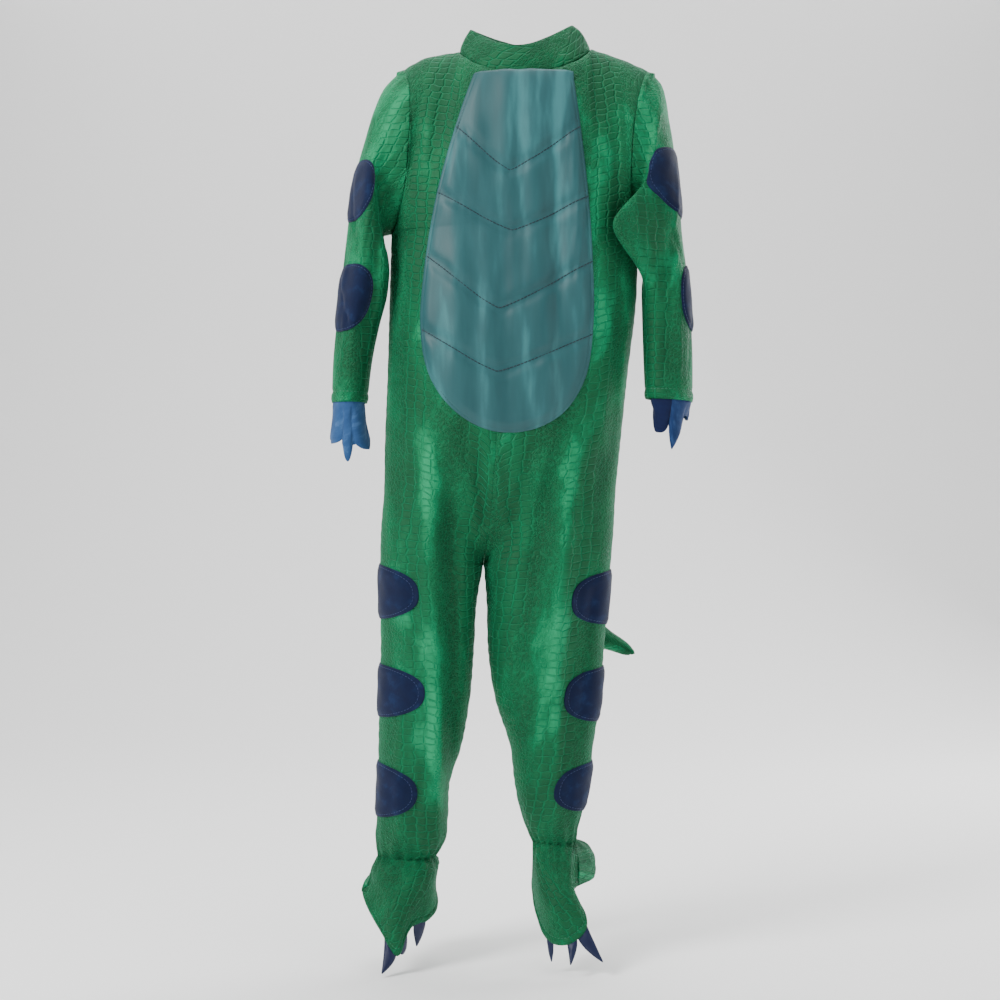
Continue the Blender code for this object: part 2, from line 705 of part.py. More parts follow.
def add_wall(name, grid, edges, normals, wall, finish, closed=False):
    """Cloth of a given wall: the outer grid, and the same grid moved in along the shared normals."""
    outer = eased(grid, edges)
    if closed:
        grid, outer, normals = grid[:, :-1], outer[:, :-1], normals[:, :-1]
    rows, columns = outer.shape[:2]
    inner = outer - normals * (wall if np.ndim(wall) == 0 else np.asarray(wall)[:, None, None])
    points = np.concatenate([outer.reshape(-1, 3), inner.reshape(-1, 3)])
    rim = grid_rim(rows, columns, closed)
    faces = wall_faces(cell_faces(grid, columns, closed), rows * columns, rim, grid.reshape(-1, 3))
    return add_object(name, points, faces, finish)


def add_overlay(name, grid, normals, flat, outline, wall, finish, lift=LIFT):
    """A piece sewn on a panel. The panel's cells are laid flat, cut along the outline, and put back moved out."""
    rows, columns = grid.shape[:2]
    bm = bmesh.new()
    place = bm.verts.layers.float_vector.new("place")
    away = bm.verts.layers.float_vector.new("away")
    verts = []
    for point, normal, spot in zip(grid.reshape(-1, 3), normals.reshape(-1, 3), flat.reshape(-1, 2)):
        vert = bm.verts.new((spot[0], spot[1], 0))
        vert[place] = tuple(point)
        vert[away] = tuple(normal)
        verts.append(vert)
    low, high = outline.min(axis=0) - 40, outline.max(axis=0) + 40
    for face in cell_faces(grid, columns, False):
        corner = flat.reshape(-1, 2)[face[0]]
        if (corner > low).all() and (corner < high).all():
            bm.faces.new([verts[v] for v in face])
    centre = outline.mean(axis=0)
    for start, end in zip(outline, np.roll(outline, -1, axis=0)):
        side = end - start
        out = np.array([side[1], -side[0]])
        if out @ (start - centre) < 0:
            out = -out
        parts = bm.verts[:] + bm.edges[:] + bm.faces[:]
        bmesh.ops.bisect_plane(
            bm, geom=parts, dist=1e-4, plane_co=(*start, 0), plane_no=(*out, 0), clear_outer=True)
    bmesh.ops.remove_doubles(bm, verts=bm.verts, dist=0.05)
    bmesh.ops.dissolve_degenerate(bm, edges=bm.edges, dist=0.02)
    bmesh.ops.delete(bm, geom=[v for v in bm.verts if not v.link_faces], context="VERTS")
    bmesh.ops.triangulate(bm, faces=bm.faces)
    bm.verts.index_update()
    places = np.array([tuple(v[place]) for v in bm.verts])
    aways = np.array([tuple(v[away]) for v in bm.verts])
    aways /= np.linalg.norm(aways, axis=1, keepdims=True)
    count = len(places)
    faces = [tuple(v.index for v in f.verts) for f in bm.faces]
    rim = [(lp.vert.index, lp.link_loop_next.vert.index) for f in bm.faces for lp in f.loops
           if len(lp.edge.link_faces) == 1]
    bm.free()
    points = np.concatenate([places + aways * (lift + wall), places + aways * lift])
    return add_object(name, points, wall_faces(faces, count, rim, places), finish)


def oval(centre, half_width, half_height, roundness=2.4):
    """Points of a full-bodied oval: a superellipse."""
    angle = np.linspace(0, 2 * math.pi, OUTLINE_STEPS, endpoint=False) + 0.05
    cos, sin = np.cos(angle), np.sin(angle)
    x = half_width * np.sign(cos) * np.abs(cos) ** (2 / roundness)
    y = half_height * np.sign(sin) * np.abs(sin) ** (2 / roundness)
    return np.stack([centre[0] + x, centre[1] + y], axis=1)


def joined(left_part, right_part):
    """Two grids that share their first column, laid side by side as one."""
    return np.concatenate([left_part[:, ::-1], right_part[:, 1:]], axis=1)


def add_belly(grids, normals):
    """The belly panel lies over the centre seam, from the neckline to below the waist."""
    low = LEG_ROWS + RISE_ROWS - 4
    parts = [(grids[side, "front"][low:, ::-1], normals[side, "front"][low:, ::-1]) for side in ("right", "left")]
    grid = joined(parts[0][0], parts[1][0])
    normal = joined(parts[0][1], parts[1][1])
    knots = np.arange(len(BELLY["x"]))
    outline = curve(knots, np.stack([BELLY["x"], BELLY["z"]], axis=1), np.linspace(0, knots[-1], 30))
    outline[[0, -1], 1] = NECK["front_z"] - 1.2
    add_overlay("belly_panel", grid, normal, grid[..., [0, 2]], outline, SATIN, "satin")


def add_leg_spots(side, grids, normals):
    """Three ovals down each leg, wrapped round the side seam."""
    rows = slice(0, LEG_ROWS + RISE_ROWS)
    grid = joined(grids[side, "front"][rows], grids[side, "back"][rows])
    normal = joined(normals[side, "front"][rows], normals[side, "back"][rows])
    steps = np.linalg.norm(np.diff(grid, axis=1), axis=2)
    along = np.concatenate([np.zeros((len(grid), 1)), np.cumsum(steps, axis=1)], axis=1)
    along -= along[:, COLUMNS:COLUMNS + 1]
    flat = np.stack([along, grid[..., 2]], axis=2)
    spots = LEG_SPOTS[side]
    for k, (z, reach, half_height) in enumerate(zip(spots["z"], spots["reach"], spots["half_height"])):
        outline = oval((0, z), reach, half_height)
        add_overlay(f"leg_spot_{side}_{k + 1}", grid, normal, flat, outline, FELT, "spot_felt")


def add_sleeve_spots(side, grid, normal):
    """Two ovals down each sleeve, on its outer side."""
    half = YOKE_ROWS
    turned = np.concatenate([grid[:, half:-1], grid[:, :half + 1]], axis=1)
    turned_normal = np.concatenate([normal[:, half:-1], normal[:, :half + 1]], axis=1)
    around = np.linspace(-180, 180, turned.shape[1]) * SPOT_TURN
    flat = np.stack([np.repeat(around[None], len(turned), axis=0), turned[..., 2]], axis=2)
    spots = SLEEVE_SPOTS[side]
    rows = zip(*(spots[name] for name in ("z", "turn", "half_turn", "half_height")))
    for k, (z, turn, half_turn, half_height) in enumerate(rows):
        outline = oval((turn * SPOT_TURN, z), half_turn * SPOT_TURN, half_height)
        add_overlay(f"sleeve_spot_{side}_{k + 1}", turned, turned_normal, flat, outline, FELT, "spot_felt")


def add_closure(grids, normals):
    """The back opens down its centre, and a strip closes over it with hook-and-loop."""
    low = LEG_ROWS + RISE_ROWS - 4
    parts = [(grids[side, "back"][low:, ::-1], normals[side, "back"][low:, ::-1]) for side in ("right", "left")]
    grid = joined(parts[0][0], parts[1][0])
    normal = joined(parts[0][1], parts[1][1])
    centre = grid[:, COLUMNS, 0][:, None]
    flat = np.stack([grid[..., 0] - centre, grid[..., 2]], axis=2)
    w, top, bottom = CLOSURE["half_width"], CLOSURE["top_z"], CLOSURE["low_z"]
    outline = np.array([(-w, top), (-w, bottom + 5), (0, bottom), (w, bottom + 5), (w, top)])
    add_overlay("closure_strip", grid, normal, flat, outline, CLOTH, "velour")


def add_collar(grid, normals):
    """The standing collar, doubled, open at the back centre."""
    wall = np.linspace(CLOTH, CLOTH + 1.2, COLLAR_ROWS + 1)
    add_wall("collar", grid, ("low", "first", "last"), normals, wall, "velour")


def add_hanging(name, edge, drop, gap, normal, tips, puffs, slim, finish):
    """A piece sewn to an edge from below: rows run down the edge's own way and bend to each column's tip."""
    rows = len(puffs)
    down = np.linspace(0, 1, rows)[:, None, None]
    start = edge + drop * gap
    length = np.linalg.norm(tips - start, axis=1, keepdims=True)
    bend = start + drop * length * 0.35
    sheet = start * (1 - down) ** 2 + bend * 2 * down * (1 - down) + tips * down**2
    half = (np.asarray(puffs) / 2)[:, None, None] * slim[None, :, None]
    away = np.cross(np.gradient(sheet, axis=1), np.gradient(sheet, axis=0))
    away /= np.maximum(np.linalg.norm(away, axis=2, keepdims=True), 1e-9)
    away *= np.sign((away[:1] * normal).sum(axis=2, keepdims=True))
    outer, inner = sheet + away * half, sheet - away * half
    columns = sheet.shape[1]
    points = np.concatenate([outer.reshape(-1, 3), inner.reshape(-1, 3)])
    faces = wall_faces(cell_faces(sheet, columns, False), rows * columns, grid_rim(rows, columns, False),
                       sheet.reshape(-1, 3))
    return add_object(name, points, faces, finish)


def hem_reader(grid, normals, depth):
    """Reads a tube's last edge at any turn: the place in its wall, the way the cloth runs there and its normal."""
    turns = np.linspace(0, 360, grid.shape[1])
    ways = grid[-1] - grid[-2]
    ways /= np.linalg.norm(ways, axis=1, keepdims=True)

    def at(turn):
        found = []
        for values in (grid[-1] - normals[-1] * depth, ways, normals[-1]):
            found.append(np.stack([np.interp(np.mod(turn, 360), turns, values[:, k]) for k in range(3)], axis=1))
        return found

    return at


def add_hand_flap(side, grid, normals):
    """A flap of three fingers sewn under the cuff's hem."""
    spec = HAND_FLAPS[side]
    turn = np.linspace(spec["start"], spec["end"], FLAP_COLUMNS + 1)
    edge, drop, normal = hem_reader(grid, normals, CLOTH / 2)(turn)
    length = np.full(len(turn), spec["palm"])
    aside = np.zeros(len(turn))
    fingers = spec["fingers"]
    rows = zip(*(fingers[key] for key in ("turn", "half_turn", "length", "point", "lean")))
    for centre, half_turn, finger, point, lean in rows:
        share = (1 - np.clip(np.abs(turn - centre) / half_turn, 0, 1) ** point) ** 0.7
        reach = spec["palm"] + (finger - spec["palm"]) * share
        aside = np.where(reach > length, lean * share, aside)
        length = np.maximum(length, reach)
    near_end = np.minimum(1, np.arange(len(turn)) / 2.5) * np.minimum(1, np.arange(len(turn))[::-1] / 2.5)
    length *= 0.8 + 0.2 * near_end
    tips = edge + normal * spec["spread"]
    tips[:, 0] += aside
    tips[:, 2] -= length
    puffs = np.linspace(1.6, 2.0, FLAP_ROWS + 1)
    slim = np.ones(len(turn))
    add_hanging(f"hand_flap_{side}", edge, drop, FLAP_GAP, normal, tips, puffs, slim, "hand_felt")


def add_toe_claws(side, grid, normals):
    """Three small stuffed claws along the toe's hem."""
    claws = TOE_CLAWS[side]
    names = ("turn", "half_turn", "tip_x", "tip_y", "tip_z", "puff")
    for k, (turn, half_turn, x, y, z, puff) in enumerate(zip(*(claws[name] for name in names))):
        spread = np.linspace(-1, 1, 5)
        edge, drop, normal = hem_reader(grid, normals, CLOTH / 2)(turn + spread * half_turn)
        side_way = (edge[-1] - edge[0]) / np.linalg.norm(edge[-1] - edge[0])
        tips = np.array([x, y, z]) + spread[:, None] * side_way * 0.7
        puffs = np.array([0.3, 0.85, 1.0, 0.75, 0.25]) * puff
        slim = np.array([0.35, 0.85, 1, 0.85, 0.35])
        name = f"toe_claw_{side}_{k + 1}"
        add_hanging(name, edge, drop, CLAW_GAP, normal, tips, puffs, slim, "claw_satin")


def add_tail(grids):
    """A stuffed cone on a bent spine. Its base is laid on the seat, and its end is rounded."""
    tree = surface_tree([(grids[side, "back"], SIGNS[side]) for side in SIGNS])
    at = np.linspace(0, 1, TAIL_ROWS + 1)
    knots = np.linspace(0, 1, len(TAIL["x"]))
    spine = curve(knots, np.stack([TAIL["x"], TAIL["y"], TAIL["z"]], axis=1), at)
    radius = curve(knots, TAIL["radius"], at)[:, 0]
    ahead = np.gradient(spine, axis=0)
    ahead /= np.linalg.norm(ahead, axis=1, keepdims=True)
    swing = np.clip(at / TAIL_LIFT_OFF, 0, 1)[:, None]
    ahead = ahead * swing + np.array([0, 1, 0]) * (1 - swing)
    ahead /= np.linalg.norm(ahead, axis=1, keepdims=True)
    angle = np.linspace(0, 2 * math.pi, TAIL_SIDES, endpoint=False)
    rings = []
    for point, way, r in zip(spine, ahead, radius):
        across = np.cross(way, (0, 0, 1.0))
        across /= np.linalg.norm(across)
        up = np.cross(across, way)
        rings.append(point + r * (np.cos(angle)[:, None] * across + np.sin(angle)[:, None] * up))

    def on_seat(point, gap):
        hit = tree.ray_cast(Vector((point[0], 400, point[2])), Vector((0, -1, 0)))[0]
        return np.array([point[0], hit.y + gap, point[2]])

    rings[0] = np.array([on_seat(p, TAIL_SEAT) for p in rings[0]])
    inner = spine[0] + (rings[0] - spine[0]) * 0.5
    inner = np.array([on_seat(p, TAIL_SEAT + 2) for p in inner])
    middle = on_seat(spine[0], TAIL_SEAT + 3)
    points = np.concatenate([[middle], inner, *rings, [spine[-1] + ahead[-1] * radius[-1] * 0.6]])
    faces = [(0, 1 + (k + 1) % TAIL_SIDES, 1 + k) for k in range(TAIL_SIDES)]
    bands = len(rings)
    for band in range(bands):
        for k in range(TAIL_SIDES):
            a, b = 1 + band * TAIL_SIDES + k, 1 + band * TAIL_SIDES + (k + 1) % TAIL_SIDES
            faces.append((a, b, b + TAIL_SIDES, a + TAIL_SIDES))
    end = 1 + bands * TAIL_SIDES
    faces += [(end + k, end + (k + 1) % TAIL_SIDES, len(points) - 1) for k in range(TAIL_SIDES)]
    add_object("tail", points, faces, "velour")


def build():
    for obj in list(bpy.data.objects):
        bpy.data.objects.remove(obj)
    panels = {(side, face): body_panel(side, face) for side in SIGNS for face in FACES}
    grids = {}
    for (side, face), grid in panels.items():
        grids[side, face] = (grid, SIGNS[side] * FACES[face])
    for side in SIGNS:
        trunk = [grids[side, face] for face in FACES]
        grids["sleeve", side] = (sleeve_grid(side, trunk), SIGNS[side])
        grids["foot", side] = (foot_grid(side, panels), SIGNS[side])
    grids["collar"] = (collar_grid(panels), 1.0)
    normals = shared_normals(grids)
    for side in SIGNS:
        normals["sleeve", side] = softened(normals["sleeve", side])

    for side, face in panels:
        edges = ("low", "high", "first", "last")
        add_wall(f"{face}_{side}", panels[side, face], edges, normals[side, face], CLOTH, "velour")
    for side in SIGNS:
        sleeve, foot = grids["sleeve", side][0], grids["foot", side][0]
        add_wall(f"sleeve_{side}", sleeve, ("low",), normals["sleeve", side], CLOTH, "velour", closed=True)
        add_wall(f"foot_cover_{side}", foot, ("low",), normals["foot", side], CLOTH, "velour", closed=True)
        add_hand_flap(side, sleeve, normals["sleeve", side])
        add_toe_claws(side, foot, normals["foot", side])
        add_leg_spots(side, panels, normals)
        add_sleeve_spots(side, sleeve, normals["sleeve", side])
    add_collar(grids["collar"][0], normals["collar"])
    add_belly(panels, normals)
    add_closure(panels, normals)
    add_tail(panels)


build()
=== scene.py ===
# The looks of a child's dinosaur costume: stamped velour, a quilted satin belly, sewn-on
# spots and a stuffed tail. Every shape is a surface over two parameters, worked out in
# millimetres from short tables and made in metres.
import math

import bmesh
import bpy
import numpy as np
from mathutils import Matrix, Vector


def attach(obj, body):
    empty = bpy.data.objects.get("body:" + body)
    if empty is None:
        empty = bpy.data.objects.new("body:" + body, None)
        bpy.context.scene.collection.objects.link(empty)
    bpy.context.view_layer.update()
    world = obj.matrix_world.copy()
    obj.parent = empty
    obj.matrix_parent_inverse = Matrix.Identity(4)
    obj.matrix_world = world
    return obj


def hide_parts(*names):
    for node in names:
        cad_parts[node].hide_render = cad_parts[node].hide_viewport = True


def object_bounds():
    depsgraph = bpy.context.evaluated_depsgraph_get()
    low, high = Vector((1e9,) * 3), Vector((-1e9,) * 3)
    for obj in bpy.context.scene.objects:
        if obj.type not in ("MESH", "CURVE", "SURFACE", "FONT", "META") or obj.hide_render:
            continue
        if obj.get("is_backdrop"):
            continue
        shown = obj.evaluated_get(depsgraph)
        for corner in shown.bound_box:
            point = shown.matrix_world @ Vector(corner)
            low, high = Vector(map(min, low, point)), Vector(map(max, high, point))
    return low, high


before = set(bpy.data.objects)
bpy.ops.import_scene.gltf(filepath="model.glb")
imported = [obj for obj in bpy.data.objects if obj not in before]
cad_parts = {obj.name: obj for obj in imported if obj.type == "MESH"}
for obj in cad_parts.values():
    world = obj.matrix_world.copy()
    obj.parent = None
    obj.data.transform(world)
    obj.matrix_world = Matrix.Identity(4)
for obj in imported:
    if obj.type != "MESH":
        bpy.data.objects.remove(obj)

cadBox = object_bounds()
mm = 0.001
signs = {"right": -1.0, "left": 1.0}
faces = {"front": -1.0, "back": 1.0}


def table(columns, *rows):
    data = np.array(rows, float)
    return {name: data[:, k] for k, name in enumerate(columns.split())}


# The cut. Columns of the tables are the same places that the solids are worked out from.
body = {
    "riseTop": -415.0,
    "crotch": -531.0,
    "armpit": -183.0,
    "boxiness": 0.86,
    "legBoxiness": 1.0,
    "legBoxinessDrop": 60.0,
    "shoulderShare": 0.5,
    "shoulderDepth": 2.0,
    "columns": 64,
    "legRows": 120,
    "riseRows": 26,
    "trunkRows": 60,
    "yokeRows": 48,
    "cloth": 1.5,
    "rowPower": 1.15,
    "sway": 0.9,
    "rumple": 0.28,
    "seamDip": 0.65,
    "seamWidth": 2.6,
    "pucker": 0.45,
    "puckerWave": 2.6,
    "puckerDrift": 11.0,
    "puckerReach": 7.0,
    "puckerStart": 2.0,
}
trunk = table(
    "z right centre left front back",
    (-183, -134, -6, 127, -66, 57),
    (-254, -136, -18, 125, -73, 57),
    (-330, -138, -21, 116, -76, 59),
    (-407, -141, -23, 108, -72, 64),
    (-458, -142, -27, 103, -67, 64),
    (-496, -145, -31, 101, -63, 62),
    (-531, -146, -36.5, 98, -60, 59),
)
legs = {
    "right": table(
        "z outer inner front back",
        (-531, -146, -36.5, -60, 59),
        (-572, -146, -43.5, -56, 55),
        (-623, -145.5, -46.5, -51, 50),
        (-676, -147, -51, -49, 47),
        (-725, -148, -60, -47, 45),
        (-763, -148, -72, -45, 43),
        (-801, -150, -74, -41, 39),
        (-824, -151, -77, -36, 34),
        (-841, -148, -88, -25, 24),
    ),
    "left": table(
        "z outer inner front back",
        (-531, 98, -36.5, -60, 59),
        (-572, 95, -33.5, -56, 55),
        (-623, 91, -32, -51, 50),
        (-676, 87, -24, -48, 46),
        (-725, 79.5, -8.5, -45, 44),
        (-763, 75, -4, -42, 41),
        (-792, 69, 2, -38, 37),
        (-811, 63.5, 9, -33, 32),
        (-825, 61, 16, -24, 23),
    ),
}
shoulders = {
    "right": table("x z", (-123, -8), (-96, 5), (-62, 11)),
    "left": table("x z", (140, -10), (112, 2), (77, 14)),
}
neck = {"x": 4.0, "frontY": -46.0, "frontZ": -20.0, "backY": 42.0, "backZ": 9.0}

# The large folds of the solids, then the fine creases that lie between them.
folds = table(
    "face topX topZ lowX lowZ width depth",
    (-1, -97, -400, -78, -800, 15, 7),
    (-1, -70, -480, -66, -760, 15, -5),
    (-1, 66, -400, 30, -660, 17, 6),
    (-1, 84, -420, 56, -780, 14, -4),
    (-1, 28, -440, 2, -640, 14, -4),
    (-1, -58, -390, -32, -490, 13, -4),
    (-1, 62, -40, 66, -300, 15, 4),
    (-1, 90, -70, 88, -400, 14, 4),
    (-1, -62, -90, -74, -400, 16, 3),
    (-1, -118, -230, -122, -500, 12, -3),
    (1, -84, -60, -94, -420, 16, 5),
    (1, 70, -60, 66, -430, 16, 5),
    (1, -104, -430, -112, -780, 15, 5),
    (1, -72, -560, -88, -780, 14, -4),
    (1, 62, -440, 36, -780, 15, 5),
)
creases = table(
    "face topX topZ lowX lowZ width depth",
    (-1, -104, -60, -116, -210, 6, -2.0),
    (-1, -88, -40, -100, -130, 5, 1.4),
    (-1, 98, -60, 104, -180, 6, -1.8),
    (-1, 104, -210, 96, -420, 6, -2.2),
    (-1, 114, -260, 106, -480, 5, 1.8),
    (-1, 12, -60, 16, -250, 9, 1.6),
    (-1, -30, -70, -44, -300, 9, -1.4),
    (-1, 38, -90, 40, -390, 8, -1.8),
    (-1, 55, -30, 64, -260, 5, 1.6),
    (-1, -110, -420, -106, -620, 6, -2.0),
    (-1, -90, -520, -88, -700, 5, -1.8),
    (-1, -52, -430, -40, -520, 5, 1.6),
    (-1, -16, -420, 4, -560, 5, -1.6),
    (-1, 48, -450, 26, -600, 6, 1.8),
    (-1, 76, -560, 60, -720, 5, -2.0),
    (-1, 40, -640, 38, -800, 5, 1.8),
    (-1, -122, -690, -124, -820, 5, 1.8),
    (-1, -100, -740, -112, -830, 4, -2.0),
    (-1, 50, -720, 52, -815, 4, -1.8),
    (-1, 20, -600, 22, -720, 5, 1.4),
    (-1, -90, -415, -84, -800, 7, 2.6),
    (-1, -71, -440, -69, -790, 6, -3.4),
    (-1, -56, -500, -60, -740, 6, 1.6),
    (-1, 52, -420, 34, -700, 6, 2.4),
    (-1, 68, -430, 50, -720, 6, -2.8),
    (-1, -44, -405, -30, -520, 5, -2.2),
    (-1, 14, -405, -14, -520, 5, -2.0),
    (-1, 30, -410, 2, -540, 6, 2.0),
    (1, -60, -40, -70, -220, 7, -2.0),
    (1, 44, -50, 40, -260, 7, -1.8),
    (1, 100, -120, 92, -380, 6, 2.0),
    (1, -118, -160, -120, -400, 6, -2.0),
    (1, -48, -260, -56, -400, 6, 1.6),
    (1, -124, -480, -122, -700, 6, -2.0),
    (1, -92, -600, -96, -800, 5, 1.8),
    (1, 40, -540, 24, -720, 6, -2.0),
    (1, 78, -520, 62, -760, 5, 1.8),
)


# A smooth cubic through knots, whose slope at each knot is that of the chord between its neighbours.
def curveThrough(knots, values, at):
    knots = np.asarray(knots, float)
    values = np.asarray(values, float).reshape(len(knots), -1)
    if knots[0] > knots[-1]:
        knots, values = knots[::-1], values[::-1]
    slopes = np.gradient(values, knots, axis=0)
    at = np.clip(np.atleast_1d(np.asarray(at, float)), knots[0], knots[-1])
    k = np.clip(np.searchsorted(knots, at, side="right") - 1, 0, len(knots) - 2)
    gap = (knots[k + 1] - knots[k])[:, None]
    t = (at - knots[k])[:, None] / gap
    start = values[k] * (2 * t**3 - 3 * t**2 + 1) + slopes[k] * gap * (t**3 - 2 * t**2 + t)
    return start + values[k + 1] * (3 * t**2 - 2 * t**3) + slopes[k + 1] * gap * (t**3 - t**2)


def readTable(sections, key, columns, at):
    return curveThrough(sections[key], np.stack([sections[name] for name in columns], axis=1), at)


# A closed smooth curve through a ring's rows, read at turns in degrees.
def loopThrough(ring, turns):
    turn = ring["turn"]
    points = np.stack([ring["x"], ring["y"], ring["z"]], axis=1)
    knots = np.concatenate([turn[-2:] - 360, turn, turn[:3] + 360])
    values = np.concatenate([points[-2:], points, points[:3]])
    return curveThrough(knots, values, np.where(turns < turn[0], turns + 360, turns))


# Places from 0 to 1 that crowd at both ends, where seams need a fine mesh.
def crowded(count, amount=0.8):
    t = np.linspace(0, 1, count)
    return t - amount * np.sin(2 * math.pi * t) / (2 * math.pi)


def smooth(x, low, high):
    t = np.clip((x - low) / (high - low), 0, 1)
    return t * t * (3 - 2 * t)


def bell(x, width):
    return np.exp(-((x / width) ** 2))


def unit(vectors):
    return vectors / np.maximum(np.linalg.norm(vectors, axis=-1, keepdims=True), 1e-9)


# An uneven, repeatable ripple between about -1 and 1: five sine waves that cross at
# different angles.
def ripple(a, b, shift=0.0):
    total = 0
    for k in range(5):
        angle = shift + 2.4 * k
        wave = (a * math.cos(angle) + b * math.sin(angle)) * (1 + 0.37 * k)
        total = total + np.sin(wave + 5 * angle)
    return total / 3.2


# A bell across each fold's line, faded at both of its ends.
def foldPush(rows, face, x, z):
    push = np.zeros_like(x)
    names = ("face", "topX", "topZ", "lowX", "lowZ", "width", "depth")
    for side, topX, topZ, lowX, lowZ, width, depth in zip(*(rows[name] for name in names)):
        if side == face:
            along = (z - topZ) / (lowZ - topZ)
            line = topX + (lowX - topX) * along
            ends = np.clip(np.minimum(along, 1 - along) * 5 + 0.5, 0, 1)
            push += depth * bell(x - line, width) * smooth(ends, 0, 1)
    return push


# Half a section from the side seam inwards: a squared ellipse, over 90 degrees to the
# centre or 180 to the inseam.
def halfRing(z, edge, inner, crown, spread, boxiness, u):
    angle = u[None, :] * math.radians(spread)
    reach = np.cos(angle)
    reach = np.sign(reach) * np.abs(reach) ** boxiness
    edge, inner, crown = (v[:, None] for v in (edge, inner, crown))
    if spread == 90:
        x = inner + (edge - inner) * reach
    else:
        x = (edge + inner) / 2 + (edge - inner) / 2 * reach
    y = crown * np.abs(np.sin(angle)) ** boxiness
    return np.stack([x, y, np.repeat(z[:, None], len(u), axis=1)], axis=2)


def trunkRows(side, face, z, u, spread=90):
    edge, centre, crown = readTable(trunk, "z", (side, "centre", face), z).T
    return halfRing(z, edge, centre, crown, spread, body["boxiness"], u)


# From the trunk's one section to the two legs' sections, on a quarter ellipse round the crotch.
def riseRows(side, face, angle, u):
    drop = np.sin(angle)
    z = body["riseTop"] + (body["crotch"] - body["riseTop"]) * drop
    nearCentre = u[None, :] ** 4
    share = nearCentre * (1 - np.cos(angle))[:, None] + (1 - nearCentre) * smooth(drop, 0, 1)[:, None]
    whole, leg = trunkRows(side, face, z, u), trunkRows(side, face, z, u, 180)
    return whole * (1 - share[..., None]) + leg * share[..., None]


def legRows(side, face, z, u):
    edge, inner, crown = readTable(legs[side], "z", ("outer", "inner", face), z).T
    below = np.minimum(1, (body["crotch"] - z) / body["legBoxinessDrop"])[:, None]
    boxiness = body["boxiness"] + (body["legBoxiness"] - body["boxiness"]) * below
    return halfRing(z, edge, inner, crown, 180, boxiness, u)


# A panel's top edge: the shoulder seam up to the neck point, then the neckline to the centre.
def topRow(side, face, u):
    seam = shoulders[side]
    share = body["shoulderShare"]
    points = np.stack([seam["x"], np.full(3, body["shoulderDepth"]), seam["z"]], axis=1)
    shoulder = curveThrough([0, 0.5, 1], points, np.clip(u / share, 0, 1))
    angle = np.clip((u - share) / (1 - share), 0, 1) * math.pi / 2
    neckX, neckZ = seam["x"][-1], seam["z"][-1]
    line = np.stack([
        neck["x"] + (neckX - neck["x"]) * np.cos(angle),
        body["shoulderDepth"] + (neck[face + "Y"] - body["shoulderDepth"]) * np.sin(angle),
        neckZ + (neck[face + "Z"] - neckZ) * np.sin(angle) ** 1.3,
    ], axis=1)
    return np.where((u <= share)[:, None], shoulder, line)


# Rows above the armpit. Each column rises on a quarter ellipse, at the heights of the
# armhole's own points, and the outer columns are held to the armhole.
def yokeRows(side, face, armpitRow, w, u):
    top = topRow(side, face, u)
    turns = 180 * (1 - w)
    edge = sleeveSection(side, np.zeros(1), turns if face == "front" else -turns)[0]
    angle = np.arccos((1 - np.cos(math.pi * w)) / 2)
    share = np.stack([1 - np.cos(angle), np.sin(angle), 1 - np.cos(angle)], axis=1)
    rows = top[None] + (armpitRow - top)[None] * share[:, None]
    hold = np.clip(1 - u / 0.75, 0, 1) ** 2
    return rows + hold[None, :, None] * (edge - rows[:, 0])[:, None]


# The sleeves' sections, their folds, and how the left one is drawn forwards to a folded elbow.
sleeves = {
    "right": table(
        "at outX outY outZ inX inY inZ front turn back lean pullX pullY",
        (0, -123, 2, -8, -134, 0, -183, 48, -18, 48, 0, 0, 0),
        (0.06, -141, 3, -26, -141, -1, -184, 46, -8, 46, 0, 0, 0),
        (0.13, -152, 2, -50, -143, -6, -189, 45, -2, 44, 0, 0, 0),
        (0.22, -162, 0, -84, -138, -18, -202, 44, 0, 44, 4, 0, 0),
        (0.34, -171, -2, -118, -135, -26, -218, 42, 0, 44, 8, 0, 0),
        (0.48, -178, -4, -160, -135, -28, -234, 39, 0, 44, 10, 0, 0),
        (0.62, -184, -6, -214, -138, -26, -255, 35, 0, 42, 8, 0, 0),
        (0.76, -190, -9, -266, -146, -19, -283, 33, 0, 37, 4, 0, 0),
        (0.88, -194.5, -11, -314, -154, -15, -320, 32, 0, 34, 0, 0, 0),
        (1, -196, -14, -362, -159, -14, -362, 32, 0, 33, 0, 0, 0),
    ),
    "left": table(
        "at outX outY outZ inX inY inZ front turn back lean pullX pullY",
        (0, 140, 2, -10, 127, 0, -183, 48, -18, 48, 0, 0, 0),
        (0.06, 152, 2, -23, 135, -1, -184, 44, -14, 47, 0, 0, 0),
        (0.12, 157, 0, -40, 138, -4, -188, 45, -12, 46, 2, -14, -14),
        (0.185, 160, 0, -60, 136, -7, -195, 45, -12, 45, 4, -30, -28),
        (0.25, 164, 1, -82, 135, -9, -201, 44, -8, 43, 5, -39, -35),
        (0.33, 167, 2, -108, 133, -11, -212, 41, -2, 40, 5, -34, -32),
        (0.42, 170, 3, -138, 132, -13, -225, 38, 4, 38, 5, -22, -23),
        (0.55, 173, 4, -184, 130, -14, -240, 34, 8, 35, 5, -6, -9),
        (0.70, 180, 4, -240, 130, -17, -264, 31, 8, 32, 4, 0, 0),
        (0.85, 184, 0, -300, 131, -20, -306, 29, 6, 29, 2, 0, 0),
        (1, 184, -6, -361, 133, -24, -358, 28, 4, 26, 0, 0, 0),
    ),
}
sleeve = {
    "pullFrom": 85.0,
    "pullTo": 180.0,
    "clearance": 3.5,
    "aside": 6.0,
    "reach": 25.0,
    "rows": 120,
    "columns": 112,
    "cloth": 1.5,
    "sway": 0.8,
    "seamDip": 0.39,
    "pucker": 0.4,
    "hem": 11.0,
    "hemStitch": 10.0,
}
